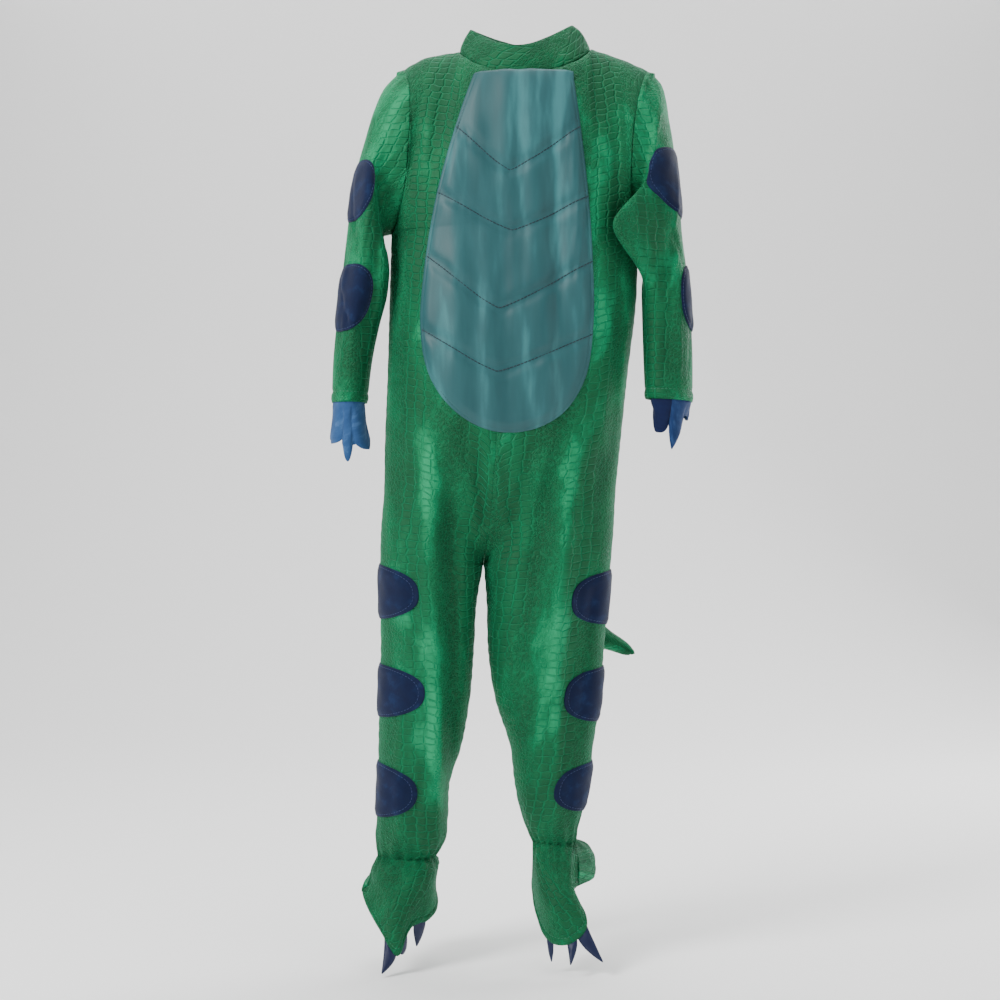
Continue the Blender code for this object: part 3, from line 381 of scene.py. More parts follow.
sleeveFolds = {
    "right": table(
        "topTurn lowTurn start end width depth",
        (78, 84, 0.08, 0.92, 20, 5),
        (118, 122, 0.02, 0.85, 18, -7),
        (-70, -80, 0.15, 0.9, 26, 4),
    ),
    "left": table(
        "topTurn lowTurn start end width depth",
        (50, 60, 0.3, 0.9, 22, 3),
        (95, 100, 0.5, 0.98, 18, -4),
    ),
}
sleeveCreases = {
    "right": table(
        "topTurn lowTurn start end width depth",
        (20, 60, 0.3, 0.55, 7, -1.8),
        (60, 40, 0.5, 0.72, 6, 1.5),
        (100, 86, 0.3, 0.6, 5, -1.6),
        (10, 80, 0.62, 0.8, 6, -1.6),
        (-30, -60, 0.3, 0.6, 8, -1.8),
        (-100, -70, 0.5, 0.8, 8, 1.8),
        (60, 66, 0.7, 0.95, 5, 1.4),
    ),
    "left": table(
        "topTurn lowTurn start end width depth",
        (30, 70, 0.3, 0.5, 7, 1.6),
        (80, 40, 0.45, 0.66, 6, -1.8),
        (60, 110, 0.55, 0.75, 6, 1.6),
        (20, 50, 0.7, 0.95, 6, -1.4),
        (-30, -60, 0.3, 0.6, 8, -1.8),
        (-100, -70, 0.5, 0.8, 8, 1.8),
        (70, 74, 0.75, 0.96, 5, 1.4),
    ),
}


def sleevePush(rows, at, turns):
    push = np.zeros(np.broadcast(at, turns).shape)
    names = ("topTurn", "lowTurn", "start", "end", "width", "depth")
    for top, low, start, end, width, depth in zip(*(rows[name] for name in names)):
        along = (at - start) / (end - start)
        ends = np.clip(np.minimum(along, 1 - along) * 6, 0, 1)
        push += depth * bell(turns - (top + (low - top) * along), width) * ends
    return push


# Sections from the outer point over the front to the inner point, and round by the back:
# two half ellipses.
def sleeveSection(side, at, turns):
    rows = readTable(sleeves[side], "at", list(sleeves[side])[1:], at)
    outer, inner = rows[:, None, 0:3], rows[:, None, 3:6]
    front, back = rows[:, None, 6:7], rows[:, None, 8:9]
    turn, lean = np.radians(rows[:, 7]), np.radians(rows[:, 9])
    angle = np.radians(turns)[None, :]
    zero = np.zeros_like(turn)
    forwards = np.stack([signs[side] * np.sin(turn), -np.cos(turn), zero], axis=1)[:, None]
    backwards = np.stack([signs[side] * np.sin(lean), np.cos(lean), zero], axis=1)[:, None]
    ahead = (np.sin(angle) >= 0)[..., None]
    swell = np.abs(np.sin(angle))[..., None]
    push = sleevePush(sleeveFolds[side], at[:, None], turns[None, :])[..., None]
    way = np.where(ahead, forwards, backwards)
    out = way * np.where(ahead, front, back) * swell + way * push * swell
    drawn = np.clip((turns - sleeve["pullFrom"]) / (sleeve["pullTo"] - sleeve["pullFrom"]), 0, 1)
    pull = np.stack([rows[:, 10], rows[:, 11], zero], axis=1)[:, None]
    pull = pull * (np.sin(math.pi * drawn) ** 2)[None, :, None]
    return (outer + inner) / 2 + np.cos(angle)[..., None] * (outer - inner) / 2 + out + pull


# Normals of a grid from the differences along its two ways. A tube's first and last
# columns are the same line.
def gridNormals(grid, outward, closed=False):
    if closed:
        across = np.concatenate([grid[:, -2:-1], grid, grid[:, 1:2]], axis=1)
        across = np.gradient(across, axis=1)[:, 1:-1]
    else:
        across = np.gradient(grid, axis=1)
    return unit(np.cross(across, np.gradient(grid, axis=0)) * outward)


# A tube's columns in order from its inner line, over the back to the outer line, and over
# the front again.
def fromInside(values):
    half = values.shape[1] // 2
    return np.concatenate([values[:, half:-1], values[:, :half + 1]], axis=1)


# A flat map of a tube: each point's height, and its way round from the outer line at that height.
def levelMap(shell):
    heights = np.linspace(shell[..., 2].max(), shell[..., 2].min(), 160)
    tracks = np.array([[np.interp(-heights, -column[:, 2], column[:, k]) for k in (0, 1)]
                       for column in np.swapaxes(shell, 0, 1)])
    steps = np.linalg.norm(np.diff(tracks, axis=0), axis=1)
    around = np.concatenate([np.zeros((1, len(heights))), np.cumsum(steps, axis=0)])
    around -= around[len(around) // 2]
    u = [np.interp(-shell[:, c, 2], -heights, row) for c, row in enumerate(around)]
    return np.stack([np.stack(u, axis=1), shell[..., 2]], axis=2)


# Distances along the cloth from the grid's first column and from its first row.
def clothLengths(grid):
    across = np.linalg.norm(np.diff(grid, axis=1), axis=2)
    along = np.linalg.norm(np.diff(grid, axis=0), axis=2)
    across = np.concatenate([np.zeros((len(grid), 1)), np.cumsum(across, axis=1)], axis=1)
    along = np.concatenate([np.zeros((1, grid.shape[1])), np.cumsum(along, axis=0)], axis=0)
    return across, along


def clothMap(grid):
    return np.stack(clothLengths(grid), axis=2)


def runLength(points):
    return np.concatenate([[0], np.cumsum(np.linalg.norm(np.diff(points, axis=0), axis=1))])


def interpRows(where, knots, values):
    return np.stack([np.interp(where, knots, column) for column in values.T], axis=1)


ankle = {"waves": 17, "depth": 1.7, "fadeUp": 16.0, "fadeDown": 12.0, "reach": 90.0}


# The elastic's gathers: waves round the ankle that fade up the leg and down the shoe cover.
def gathers(turn, away, fade):
    wave = np.cos(np.radians(turn) * ankle["waves"] + 1.5 * np.sin(np.radians(turn) * 3))
    return ankle["depth"] * wave * np.exp(-away / fade)


def bodyPanel(side, face, u):
    low = legs[side]["z"][-1]
    legZ = low + (body["crotch"] - low) * np.linspace(0, 1, body["legRows"]) ** body["rowPower"]
    angle = np.linspace(math.pi / 2, 0, body["riseRows"])
    middle = trunkRows(side, face, np.linspace(body["riseTop"], body["armpit"], body["trunkRows"]), u)
    grid = np.concatenate([
        legRows(side, face, legZ[:-1], u),
        riseRows(side, face, angle[:-1], u),
        middle,
        yokeRows(side, face, middle[-1], crowded(body["yokeRows"], 0.5)[1:], u),
    ])
    legPart = np.arange(len(grid))[:, None] < body["legRows"] + 0.5 * body["riseRows"]
    hold = np.minimum(1, u * 4) * np.where(legPart, np.minimum(1, (1 - u) * 4), 1)
    x, z = grid[..., 0], grid[..., 2]
    push = foldPush(folds, faces[face], x, z) * hold
    fine = foldPush(creases, faces[face], x, z) * hold
    uneven = ripple(x / 17, z / 60, 0.3 + faces[face]) * body["sway"]
    uneven += ripple(x / 7, z / 15, 1.7) * body["rumple"]
    grid[..., 1] += faces[face] * (push + fine + uneven * hold)
    return grid, push + fine


def trunkSkin(u):
    return [(bodyPanel(side, face, u)[0], signs[side] * faces[face])
            for side in signs for face in faces]


# Moves a sleeve's points out along the nearest trunk normal, where they come closer than
# the clearance.
def clearOf(points, skins, needed):
    places = np.concatenate([g[::2, ::2].reshape(-1, 3) for g, _ in skins]).astype(np.float32)
    ways = np.concatenate([gridNormals(g, s)[::2, ::2].reshape(-1, 3) for g, s in skins])
    flat = points.reshape(-1, 3).astype(np.float32)
    nearest = np.concatenate([
        np.argmin((places**2).sum(1)[None] - 2 * part @ places.T, axis=1)
        for part in np.array_split(flat, max(1, len(flat) // 1500))
    ])
    away = flat - places[nearest]
    height = (away * ways[nearest]).sum(axis=1)
    aside = np.linalg.norm(away - ways[nearest] * height[:, None], axis=1)
    short = np.maximum(0, needed.reshape(-1) - height)
    short = short * (aside < sleeve["aside"]) * (np.abs(height) < sleeve["reach"])
    return (flat + ways[nearest] * short[:, None]).reshape(points.shape)


def sleeveGrid(side, skins):
    turns = np.linspace(0, 360, sleeve["columns"] + 1)
    turns = np.where(turns > 180, turns - 360, turns)
    at = np.linspace(0, 1, sleeve["rows"]) ** body["rowPower"]
    grid = sleeveSection(side, at, turns)
    swell = np.abs(np.sin(np.radians(turns)))[None, :]
    free = np.clip(at * 12 - 0.3, 0, 1)[:, None]
    fine = sleevePush(sleeveCreases[side], at[:, None], turns[None, :]) * swell
    uneven = ripple(turns[None, :] / 60, at[:, None] * 9, 0.8) * sleeve["sway"]
    grid = grid + gridNormals(grid, signs[side], True) * ((fine + uneven * swell) * free)[..., None]
    needed = np.minimum(sleeve["clearance"], 35 * at[:, None]) * np.ones(len(turns))[None, :]
    return clearOf(grid, skins, needed), fine


print("shapes: body panels and sleeves")


# Makes a mesh object at the origin from points in millimetres, with its UV map in metres of cloth.
def makePiece(name, points, quads, uv=None, values=None):
    mesh = bpy.data.meshes.new(name)
    points = np.asarray(points, float).reshape(-1, 3)
    quads = np.asarray(quads, np.int32).reshape(-1, 4)
    mesh.vertices.add(len(points))
    mesh.vertices.foreach_set("co", (points * mm).ravel())
    mesh.loops.add(quads.size)
    mesh.loops.foreach_set("vertex_index", quads.ravel())
    mesh.polygons.add(len(quads))
    mesh.polygons.foreach_set("loop_start", np.arange(0, quads.size, 4, dtype=np.int32))
    mesh.update(calc_edges=True)
    if uv is not None:
        layer = mesh.uv_layers.new(name="cloth")
        layer.data.foreach_set("uv", (np.asarray(uv).reshape(-1, 2)[quads.ravel()] * mm).ravel())
    for key, numbers in (values or {}).items():
        layer = mesh.attributes.new(key, "FLOAT", "POINT")
        layer.data.foreach_set("value", np.asarray(numbers, np.float32).ravel())
    mesh.validate()
    mesh.shade_smooth()
    piece = bpy.data.objects.new(name, mesh)
    bpy.context.scene.collection.objects.link(piece)
    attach(piece, "root")
    return piece


# The quads of a grid. A tube's last column repeats its first, so that the UV map has its seam there.
def gridQuads(rows, columns, flip=False, start=0):
    r, c = np.meshgrid(np.arange(rows - 1), np.arange(columns - 1), indexing="ij")
    a = (start + r * columns + c).ravel()
    quad = np.stack([a, a + 1, a + columns + 1, a + columns], axis=1)
    return quad[:, ::-1] if flip else quad


def weld(piece, distance=0.00002):
    bm = bmesh.new()
    bm.from_mesh(piece.data)
    bmesh.ops.remove_doubles(bm, verts=bm.verts, dist=distance)
    bm.to_mesh(piece.data)
    bm.free()


# Gives a piece its material and its slot, and hides the node that it stands for.
def dress(piece, material, node=None):
    piece.data.materials.append(material)
    if node:
        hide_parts(node)
    return piece


# A cloth piece: a grid turned outwards, its wall added inwards, and the node that it stands for.
def clothPiece(name, node, grid, outward, thickness, material, uv=None, values=None, closed=False):
    uv = clothMap(grid) if uv is None else uv
    piece = makePiece(name, grid, gridQuads(*grid.shape[:2], flip=outward < 0), uv, values)
    if closed:
        weld(piece)
    wall = piece.modifiers.new("wall", "SOLIDIFY")
    wall.thickness = thickness * mm
    wall.offset = -1
    wall.use_quality_normals = True
    return dress(piece, material, node)


search = {"steps": 25, "longest": 3.0, "share": 0.8}


# A skin is a grid with a flat map of it. A flat place is found on it by Newton steps in
# the grid's own rows and columns, from the nearest point of a coarser grid.
def layOn(skin, target, lift):
    grid, normals, flat = skin["grid"], skin["normals"], skin["flat"]
    rows, columns = flat.shape[:2]
    coarse = flat[::6, ::4].reshape(-1, 2)
    wanted = np.asarray(target, float).reshape(-1, 2)
    first = np.concatenate([
        np.argmin(((part[:, None] - coarse[None]) ** 2).sum(axis=2), axis=1)
        for part in np.array_split(wanted, max(1, len(wanted) // 2000))
    ])
    wide = len(range(0, columns, 4))
    place = np.stack([first // wide * 6.0, first % wide * 4.0], axis=1)
    place = np.clip(place, 0.01, [rows - 1.01, columns - 1.01])

    def read(values, place):
        k = np.clip(place.astype(int), 0, [rows - 2, columns - 2])
        t = (place - k)[:, :, None]
        r, c = k[:, 0], k[:, 1]
        low = values[r, c] * (1 - t[:, 1]) + values[r, c + 1] * t[:, 1]
        high = values[r + 1, c] * (1 - t[:, 1]) + values[r + 1, c + 1] * t[:, 1]
        return low * (1 - t[:, 0]) + high * t[:, 0]

    byRow, byColumn = np.gradient(flat, axis=0), np.gradient(flat, axis=1)
    for _ in range(search["steps"]):
        miss = wanted - read(flat, place)
        a, b = read(byRow, place), read(byColumn, place)
        det = a[:, 0] * b[:, 1] - a[:, 1] * b[:, 0]
        det = np.where(np.abs(det) < 1e-9, 1e-9, det)
        step = np.stack([
            (miss[:, 0] * b[:, 1] - miss[:, 1] * b[:, 0]) / det,
            (a[:, 0] * miss[:, 1] - a[:, 1] * miss[:, 0]) / det,
        ], axis=1)
        step = np.clip(step, -search["longest"], search["longest"]) * search["share"]
        place = np.clip(place + step, 0, [rows - 1.001, columns - 1.001])
    normal = unit(read(normals, place))
    lifts = np.broadcast_to(lift, target.shape[:-1]).reshape(-1, 1)
    shape = (*target.shape[:-1], 3)
    return (read(grid, place) + normal * lifts).reshape(shape), normal.reshape(shape)


# Two grids that share their first column, laid side by side as one skin.
def joined(one, other):
    return np.concatenate([one[:, ::-1], other[:, 1:]], axis=1)


# Length of a stitch, the gap to the next one, the thread's width, and how deep it sits.
stitches = {
    "cuff": (3.2, 1.0, 0.8, 0.15),
    "chevron": (3.6, 0.3, 1.15, 0.05),
    "bellyEdge": (2.6, 0.9, 0.7, 0.1),
    "edge": (2.8, 0.9, 0.7, 0.1),
    "closure": (2.8, 0.9, 0.8, 0.1),
}


# Stitches along a line on the cloth: short rounded threads, each the same small form.
def stitchLine(name, points, normals, material, kind):
    length, gap, width, sink = stitches[kind]
    run = runLength(points)
    count = max(1, int(run[-1] / (length + gap)))
    centres = (np.arange(count) + 0.5) * run[-1] / count
    middle = interpRows(centres, run, points)
    ahead = interpRows(centres + length / 2, run, points) - interpRows(centres - length / 2, run, points)
    ahead = unit(ahead)
    up = interpRows(centres, run, normals)
    up = unit(up - ahead * (up * ahead).sum(axis=1, keepdims=True))
    side = np.cross(ahead, up)
    along = np.array([-1, -0.8, 0, 0.8, 1]) * length / 2
    thick = np.array([0.15, 0.8, 1, 0.8, 0.15]) * width / 2
    turn = np.linspace(0, 2 * math.pi, 7)[:-1]
    a = np.repeat(along, 6)
    b = (thick[:, None] * np.cos(turn)[None]).ravel()
    c = (thick[:, None] * np.sin(turn)[None]).ravel() * 0.8 - sink
    mesh = (middle[:, None] + ahead[:, None] * a[None, :, None] + side[:, None] * b[None, :, None]
            + up[:, None] * c[None, :, None])
    ring, k = np.meshgrid(np.arange(4), np.arange(6), indexing="ij")
    n = (k + 1) % 6
    near, far = ring * 6, ring * 6 + 6
    quad = np.stack([near + k, near + n, far + n, far + k], axis=2).reshape(-1, 4)
    caps = np.array([[0, 5, 4, 1], [1, 4, 3, 2], [24, 25, 28, 29], [25, 26, 27, 28]])
    quad = np.concatenate([quad[:, ::-1], caps[:, ::-1]])
    quads = (quad[None] + (np.arange(count) * 30)[:, None, None]).reshape(-1, 4)
    dress(makePiece(name, mesh, quads), material)


# Shader maths: a number that runs through the nodes, and a material that makes them.
class Signal:
    def __init__(self, owner, socket):
        self.owner = owner
        self.socket = socket

    def join(self, operation, first, second=0.0):
        return self.owner.add("ShaderNodeMath", {"operation": operation}, {0: first, 1: second})

    def __add__(self, other):
        return self.join("ADD", self, other)

    def __sub__(self, other):
        return self.join("SUBTRACT", self, other)

    def __rsub__(self, other):
        return self.join("SUBTRACT", other, self)

    def __mul__(self, other):
        return self.join("MULTIPLY", self, other)

    __radd__ = __add__
    __rmul__ = __mul__

    def sine(self):
        return self.join("SINE", self)

    def between(self, low, high, start=0.0, end=1.0):
        return self.owner.add(
            "ShaderNodeMapRange",
            {"interpolation_type": "SMOOTHSTEP"},
            {"Value": self, "From Min": low, "From Max": high, "To Min": start, "To Max": end},
        )


# A material's node tree, with a short way to add each kind of node.
class Finish:
    def __init__(self, name):
        self.material = bpy.data.materials.new(name)
        self.material.use_nodes = True
        self.tree = self.material.node_tree
        self.shader = self.tree.nodes["Principled BSDF"]

    def plug(self, node, key, value):
        if isinstance(value, Signal):
            self.tree.links.new(value.socket, node.inputs[key])
        else:
            node.inputs[key].default_value = value

    def add(self, kind, settings=None, inputs=None, output=0):
        node = self.tree.nodes.new(kind)
        for key, value in (settings or {}).items():
            setattr(node, key, value)
        for key, value in (inputs or {}).items():
            self.plug(node, key, value)
        return Signal(self, node.outputs[output])

    def set(self, **values):
        for key, value in values.items():
            self.plug(self.shader, key.replace("_", " "), value)
        return self

    def stretched(self, source, sizes):
        return self.add(
            "ShaderNodeVectorMath", {"operation": "MULTIPLY"}, {0: source, 1: tuple(1 / s for s in sizes)})

    def mix(self, share, one, other):
        node = self.tree.nodes.new("ShaderNodeMix")
        node.data_type = "RGBA"
        self.plug(node, 0, share)
        self.plug(node, 6, one if isinstance(one, Signal) else (*one, 1))
        self.plug(node, 7, other if isinstance(other, Signal) else (*other, 1))
        return Signal(self, node.outputs[2])

    def noise(self, source, scale, detail=2.0, roughness=0.5):
        return self.add("ShaderNodeTexNoise", {}, {
            "Vector": source, "Scale": scale, "Detail": detail, "Roughness": roughness})

    def bump(self, height, distance, strength=1.0, below=None):
        inputs = {"Height": height, "Distance": distance, "Strength": strength}
        if below is not None:
            inputs["Normal"] = below
        return self.add("ShaderNodeBump", {}, inputs)

    def clothPlace(self):
        return self.add("ShaderNodeUVMap", {"uv_map": "cloth"})

    def vertexValue(self, name):
        return self.add("ShaderNodeAttribute", {"attribute_name": name}, {}, 2)

    def cellEdges(self, source, sizes, randomness):
        return self.add("ShaderNodeTexVoronoi", {"feature": "DISTANCE_TO_EDGE"}, {
            "Vector": self.stretched(source, sizes), "Scale": 1.0, "Randomness": randomness})

    def tones(self, light, tones, start, width):
        colour = self.mix(light, tones["deep"], tones["body"])
        return self.mix((light - start).between(0.0, width) * 0.5, colour, tones["bright"])


velour = {
    "deep": (0.0004, 0.060, 0.020),
    "body": (0.001, 0.148, 0.050),
    "bright": (0.012, 0.450, 0.195),
    "line": (0.002, 0.200, 0.078),
    "bigScale": (0.0120, 0.0078, 1.0),
    "pebble": (0.0040, 0.0036, 1.0),
    "bigJitter": 0.34,
    "pebbleJitter": 0.85,
    "bigGroove": 0.16,
    "pebbleGroove": 0.22,
    "pebbleHeight": 0.7,
    "pebbleLine": 0.55,
    "band": 0.082,
    "bandWander": 5.0,
    "wanderScale": 9.0,
    "fuzzScale": 1500.0,
    "brushScale": 26.0,
    "wornScale": 5.0,
    "brushed": 0.50,
    "worn": 0.40,
    "folded": 0.24,
    "emboss": 0.0011,
    "pile": 0.00025,
    "gloss": 0.22,
    "rough": 0.66,
    "sheen": 0.16,
    "sheenColour": (0.10, 1.0, 0.55, 1),
}


# Stamped reptile skin: columns of large squarish scales between fields of small pebbles,
# on a brushed pile.
def velourFinish():
    f = Finish("stamped velour")
    cloth = f.clothPlace()
    wander = f.noise(cloth, velour["wanderScale"]) * velour["bandWander"]
    across = f.add("ShaderNodeSeparateXYZ", {}, {0: cloth})
    band = (across * (2 * math.pi / velour["band"]) + wander).sine().between(-0.15, 0.35)
    bigTop = f.cellEdges(cloth, velour["bigScale"], velour["bigJitter"])
    bigTop = bigTop.between(0.0, velour["bigGroove"])
    smallTop = f.cellEdges(cloth, velour["pebble"], velour["pebbleJitter"])
    smallTop = smallTop.between(0.0, velour["pebbleGroove"])
    scale = bigTop * band + smallTop * (1 - band) * velour["pebbleHeight"]
    line = (1 - bigTop) * band + (1 - smallTop) * (1 - band) * velour["pebbleLine"]
    fuzz = f.noise(cloth, velour["fuzzScale"], 2.0, 0.6)
    brushed = f.noise(f.stretched(cloth, (1.0, 2.2, 1.0)), velour["brushScale"], 4.0, 0.62)
    worn = f.noise(cloth, velour["wornScale"])
    light = brushed.between(0.34, 0.70) * velour["brushed"] + worn.between(0.35, 0.70) * velour["worn"]
    # The fold value, the relief's depth, darkens the pile in troughs and lightens it on ridges: painted
    # shade and painted highlight.
    light = (light + f.vertexValue("fold") * velour["folded"]).between(0.0, 1.0)
    colour = f.tones(light, velour, 0.45, 0.7)
    colour = f.mix(line * (0.25 + 0.3 * brushed), colour, velour["line"])
    colour = f.mix(fuzz.between(0.45, 0.75) * 0.16, colour, velour["bright"])
    relief = f.bump(scale, velour["emboss"])
    pile = f.bump(fuzz, velour["pile"], 0.8, relief)
    f.set(Base_Color=colour, Normal=pile, Roughness=velour["rough"], Specular_IOR_Level=velour["gloss"],
          Sheen_Weight=velour["sheen"], Sheen_Roughness=0.30, Sheen_Tint=velour["sheenColour"])
    return f.material


satin = {
    "deep": (0.010, 0.066, 0.074),
    "body": (0.022, 0.112, 0.122),
    "bright": (0.060, 0.245, 0.258),
}


# Satin: fine threads across, long soft drifts of shade down the cloth, and a tight gloss.
def satinFinish(name="belly satin", tones=satin, gloss=0.56):
    f = Finish(name)
    cloth = f.clothPlace()
    drift = f.noise(f.stretched(cloth, (0.030, 0.160, 1.0)), 1.0, 3.0, 0.55)
    thread = f.noise(f.stretched(cloth, (0.00035, 0.004, 1.0)), 1.0, 2.0)
    weft = f.noise(f.stretched(cloth, (0.004, 0.00035, 1.0)), 1.0, 2.0)
    light = drift.between(0.30, 0.72) * 0.85 + thread * 0.15
    colour = f.tones(light, tones, 0.5, 0.5)
    weave = f.bump(thread * 0.5 + weft * 0.5, 0.00006, 0.5)
    f.set(Base_Color=colour, Normal=weave, Roughness=drift.between(0.2, 0.8, gloss - 0.06, gloss + 0.08),
          Specular_IOR_Level=0.38, Sheen_Weight=0.06, Sheen_Roughness=0.3)
    return f.material


felt = {
    "deep": (0.001, 0.005, 0.028),
    "body": (0.002, 0.010, 0.046),
    "bright": (0.009, 0.028, 0.090),
}


# Brushed plain cloth: short matted fibres, in drifts that catch a little light.
def feltFinish(name, tones, shade=None):
    f = Finish(name)
    cloth = f.clothPlace()
    fibres = f.noise(f.stretched(cloth, (0.0011, 0.0024, 1.0)), 1.0, 3.0, 0.6)
    drift = f.noise(cloth, 60.0, 3.0, 0.6)
    light = fibres * 0.35 + drift.between(0.3, 0.72) * 0.65
    colour = f.tones(light, tones, 0.5, 0.45)
    # Where the part value is set, the shade tones replace the cloth's colour: painted shade.
    if shade is not None:
        colour = f.mix(f.vertexValue("part").between(0.4, 0.6), colour, f.mix(light, *shade))
    matted = f.bump(fibres + drift * 0.6, 0.00028, 0.7)
    f.set(Base_Color=colour, Normal=matted, Roughness=0.86, Sheen_Weight=0.08, Sheen_Roughness=0.5,
          Specular_IOR_Level=0.2)
    return f.material


# Spun thread: a fine twist along each stitch.
def threadFinish(name, colour):
    f = Finish(name)
    place = f.add("ShaderNodeTexCoord", {}, {}, 3)
    twist = f.noise(place, 2600.0, 1.0)
    tone = f.mix(twist, tuple(0.75 * c for c in colour), tuple(1.2 * c for c in colour))
    f.set(Base_Color=tone, Normal=f.bump(twist, 0.0001, 0.6), Roughness=0.6)
    return f.material


velourMaterial = velourFinish()
satinMaterial = satinFinish()
spotMaterial = feltFinish("spot cloth", felt)
paleHand = {"deep": (0.016, 0.060, 0.170), "body": (0.034, 0.102, 0.250), "bright": (0.080, 0.180, 0.360)}
handMaterial = feltFinish("hand cloth", paleHand)
# The left hand flap's cloth is a darker copy of the hand cloth, which is painted shade. Its fingers past a
# given turn get deeper painted shade from handShade.
shadedHandTones = {"deep": (0.006, 0.024, 0.090), "body": (0.014, 0.046, 0.145), "bright": (0.038, 0.090, 0.230)}
handShade = ((0.002, 0.006, 0.036), (0.004, 0.011, 0.056))
shadedHandMaterial = feltFinish("shaded hand cloth", shadedHandTones, handShade)
clawTones = {"deep": (0.002, 0.006, 0.036), "body": (0.004, 0.013, 0.066), "bright": (0.018, 0.042, 0.150)}
clawMaterial = satinFinish("claw satin", clawTones, 0.5)
greenThread = threadFinish("green thread", (0.020, 0.170, 0.095))
tealThread = threadFinish("teal thread", (0.003, 0.022, 0.034))
navyThread = threadFinish("navy thread", (0.012, 0.030, 0.105))
print("finishes made")


# The body panels. Their edges roll in at the seams, with small puckers along them.
u = crowded(body["columns"])
roundTurns = np.concatenate([180 * u, 360 - 180 * u[::-1][1:]])
trunkSide = trunkSkin(np.linspace(0, 1, 40))
panels, ankles = {}, {}


def puckerFade(away):
    return np.exp(-away / body["puckerReach"]) * np.clip(away / body["puckerStart"], 0, 1)


# A panel's side, centre and top edges roll in, with small puckers that run along them.
def seamShape(grid, outward):
    across, along = clothLengths(grid)
    dip, creased = np.zeros(grid.shape[:2]), np.zeros(grid.shape[:2])
    for away, run in ((across, along), (across[:, -1:] - across, along), (along[-1:] - along, across)):
        dip = np.maximum(dip, body["seamDip"] * bell(away, body["seamWidth"]))
        wave = np.sin(run / body["puckerWave"] + 2.0 * np.sin(run / body["puckerDrift"]))
        creased += body["pucker"] * wave * puckerFade(away)
    return grid - gridNormals(grid, outward) * (dip + creased)[..., None]


for side in signs:
    for face in faces:
        grid, push = bodyPanel(side, face, u)
        outward = signs[side] * faces[face]
        low = legs[side]["z"][-1]
        turn = (180 * u if face == "front" else 360 - 180 * u)[None, :]
        wave = gathers(turn, grid[..., 2] - low, ankle["fadeUp"])
        grid = grid + gridNormals(grid, outward) * (wave * (grid[..., 2] < low + ankle["reach"]))[..., None]
        panels[side, face] = grid
        shaped = seamShape(grid, outward)
        ankles[side, face] = shaped[0]
        name = f"{face}_{side}"
        across, along = clothLengths(shaped)
        yoke = len(shaped) - body["yokeRows"]
        # Above the armpit the pattern follows the centre.
        across[yoke:] += across[yoke, -1] - across[yoke:, -1:]
        # The panels' fold depth goes to the velour as its fold value: painted shade in troughs, painted
        # highlight on ridges.
        piece = clothPiece(f"{name}_cloth", name, shaped, outward, body["cloth"], velourMaterial,
                           uv=np.stack([across, along], axis=2), values={"fold": push / 4})
print("body panels made")


hemForm = {"roll": 0.9, "rollWidth": 1.6, "grooveWidth": 1.3, "plump": 0.7}


# A turned hem at a tube's last row.
def hemShape(grid, normals, along, hem, depth=0.9):
    up = along[-1:] - along
    roll = hemForm["roll"] * bell(up, hemForm["rollWidth"])
    groove = depth * bell(up - hem, hemForm["grooveWidth"])
    plump = hemForm["plump"] * smooth(hem - up, 0, 3)
    return grid + normals * (plump - roll - groove)[..., None]


# The sleeves, set in at the armholes.
sleeveGrids, sleeveNormals = {}, {}
for side in signs:
    grid, push = sleeveGrid(side, trunkSide)
    normals = gridNormals(grid, signs[side], True)
    across, along = clothLengths(grid)
    shaped = hemShape(grid, normals, along, sleeve["hem"])
    dip = sleeve["seamDip"] * bell(along, body["seamWidth"])
    pucker = sleeve["pucker"] * np.sin(across / body["puckerWave"]) * puckerFade(along)
    shaped = shaped - normals * (dip + pucker)[..., None]
    sleeveGrids[side], sleeveNormals[side] = shaped, gridNormals(shaped, signs[side], True)
    name = f"sleeve_{side}"
    shell = fromInside(shaped)
    # The sleeves' crease depth, as their fold value, gives painted shade in troughs and painted highlight
    # on ridges.
    piece = clothPiece(f"{name}_cloth", name, shell, signs[side], sleeve["cloth"],
                       velourMaterial, levelMap(shell), {"fold": fromInside(push) / 4}, True)
    row = int(np.argmin(np.abs(along[:, 0] - (along[-1, 0] - sleeve["hemStitch"]))))
    stitchLine(f"cuff_stitching_{side}", shaped[row], sleeveNormals[side][row], greenThread,
               "cuff")
print("sleeves made")


# The standing collar: doubled cloth with a rolled top, open at the back centre.
collar = {
    "samples": 44,
    "rows": 16,
    "swell": 3.0,
    "tuck": 1.0,
    "foot": 2.0,
    "top": 3.2,
    "height": 34.0,
    "wrinkle": 0.9,
    "flat": (0.37, 0.037),
    "area": 0.0105,
}
collarTop = table(
    "turn x y z",
    (0, -51, 0, 34), (90, 2, -40, 7), (180, 58, 0, 39), (270, 4, 37, 27),
)


def neckLine(count):
    along = np.linspace(0.5, 1, count)
    rows = {key: topRow(*key, along) for key in panels}
    return np.concatenate([
        rows["right", "back"][::-1], rows["right", "front"][1:],
        rows["left", "front"][::-1][1:], rows["left", "back"][1:],
    ])


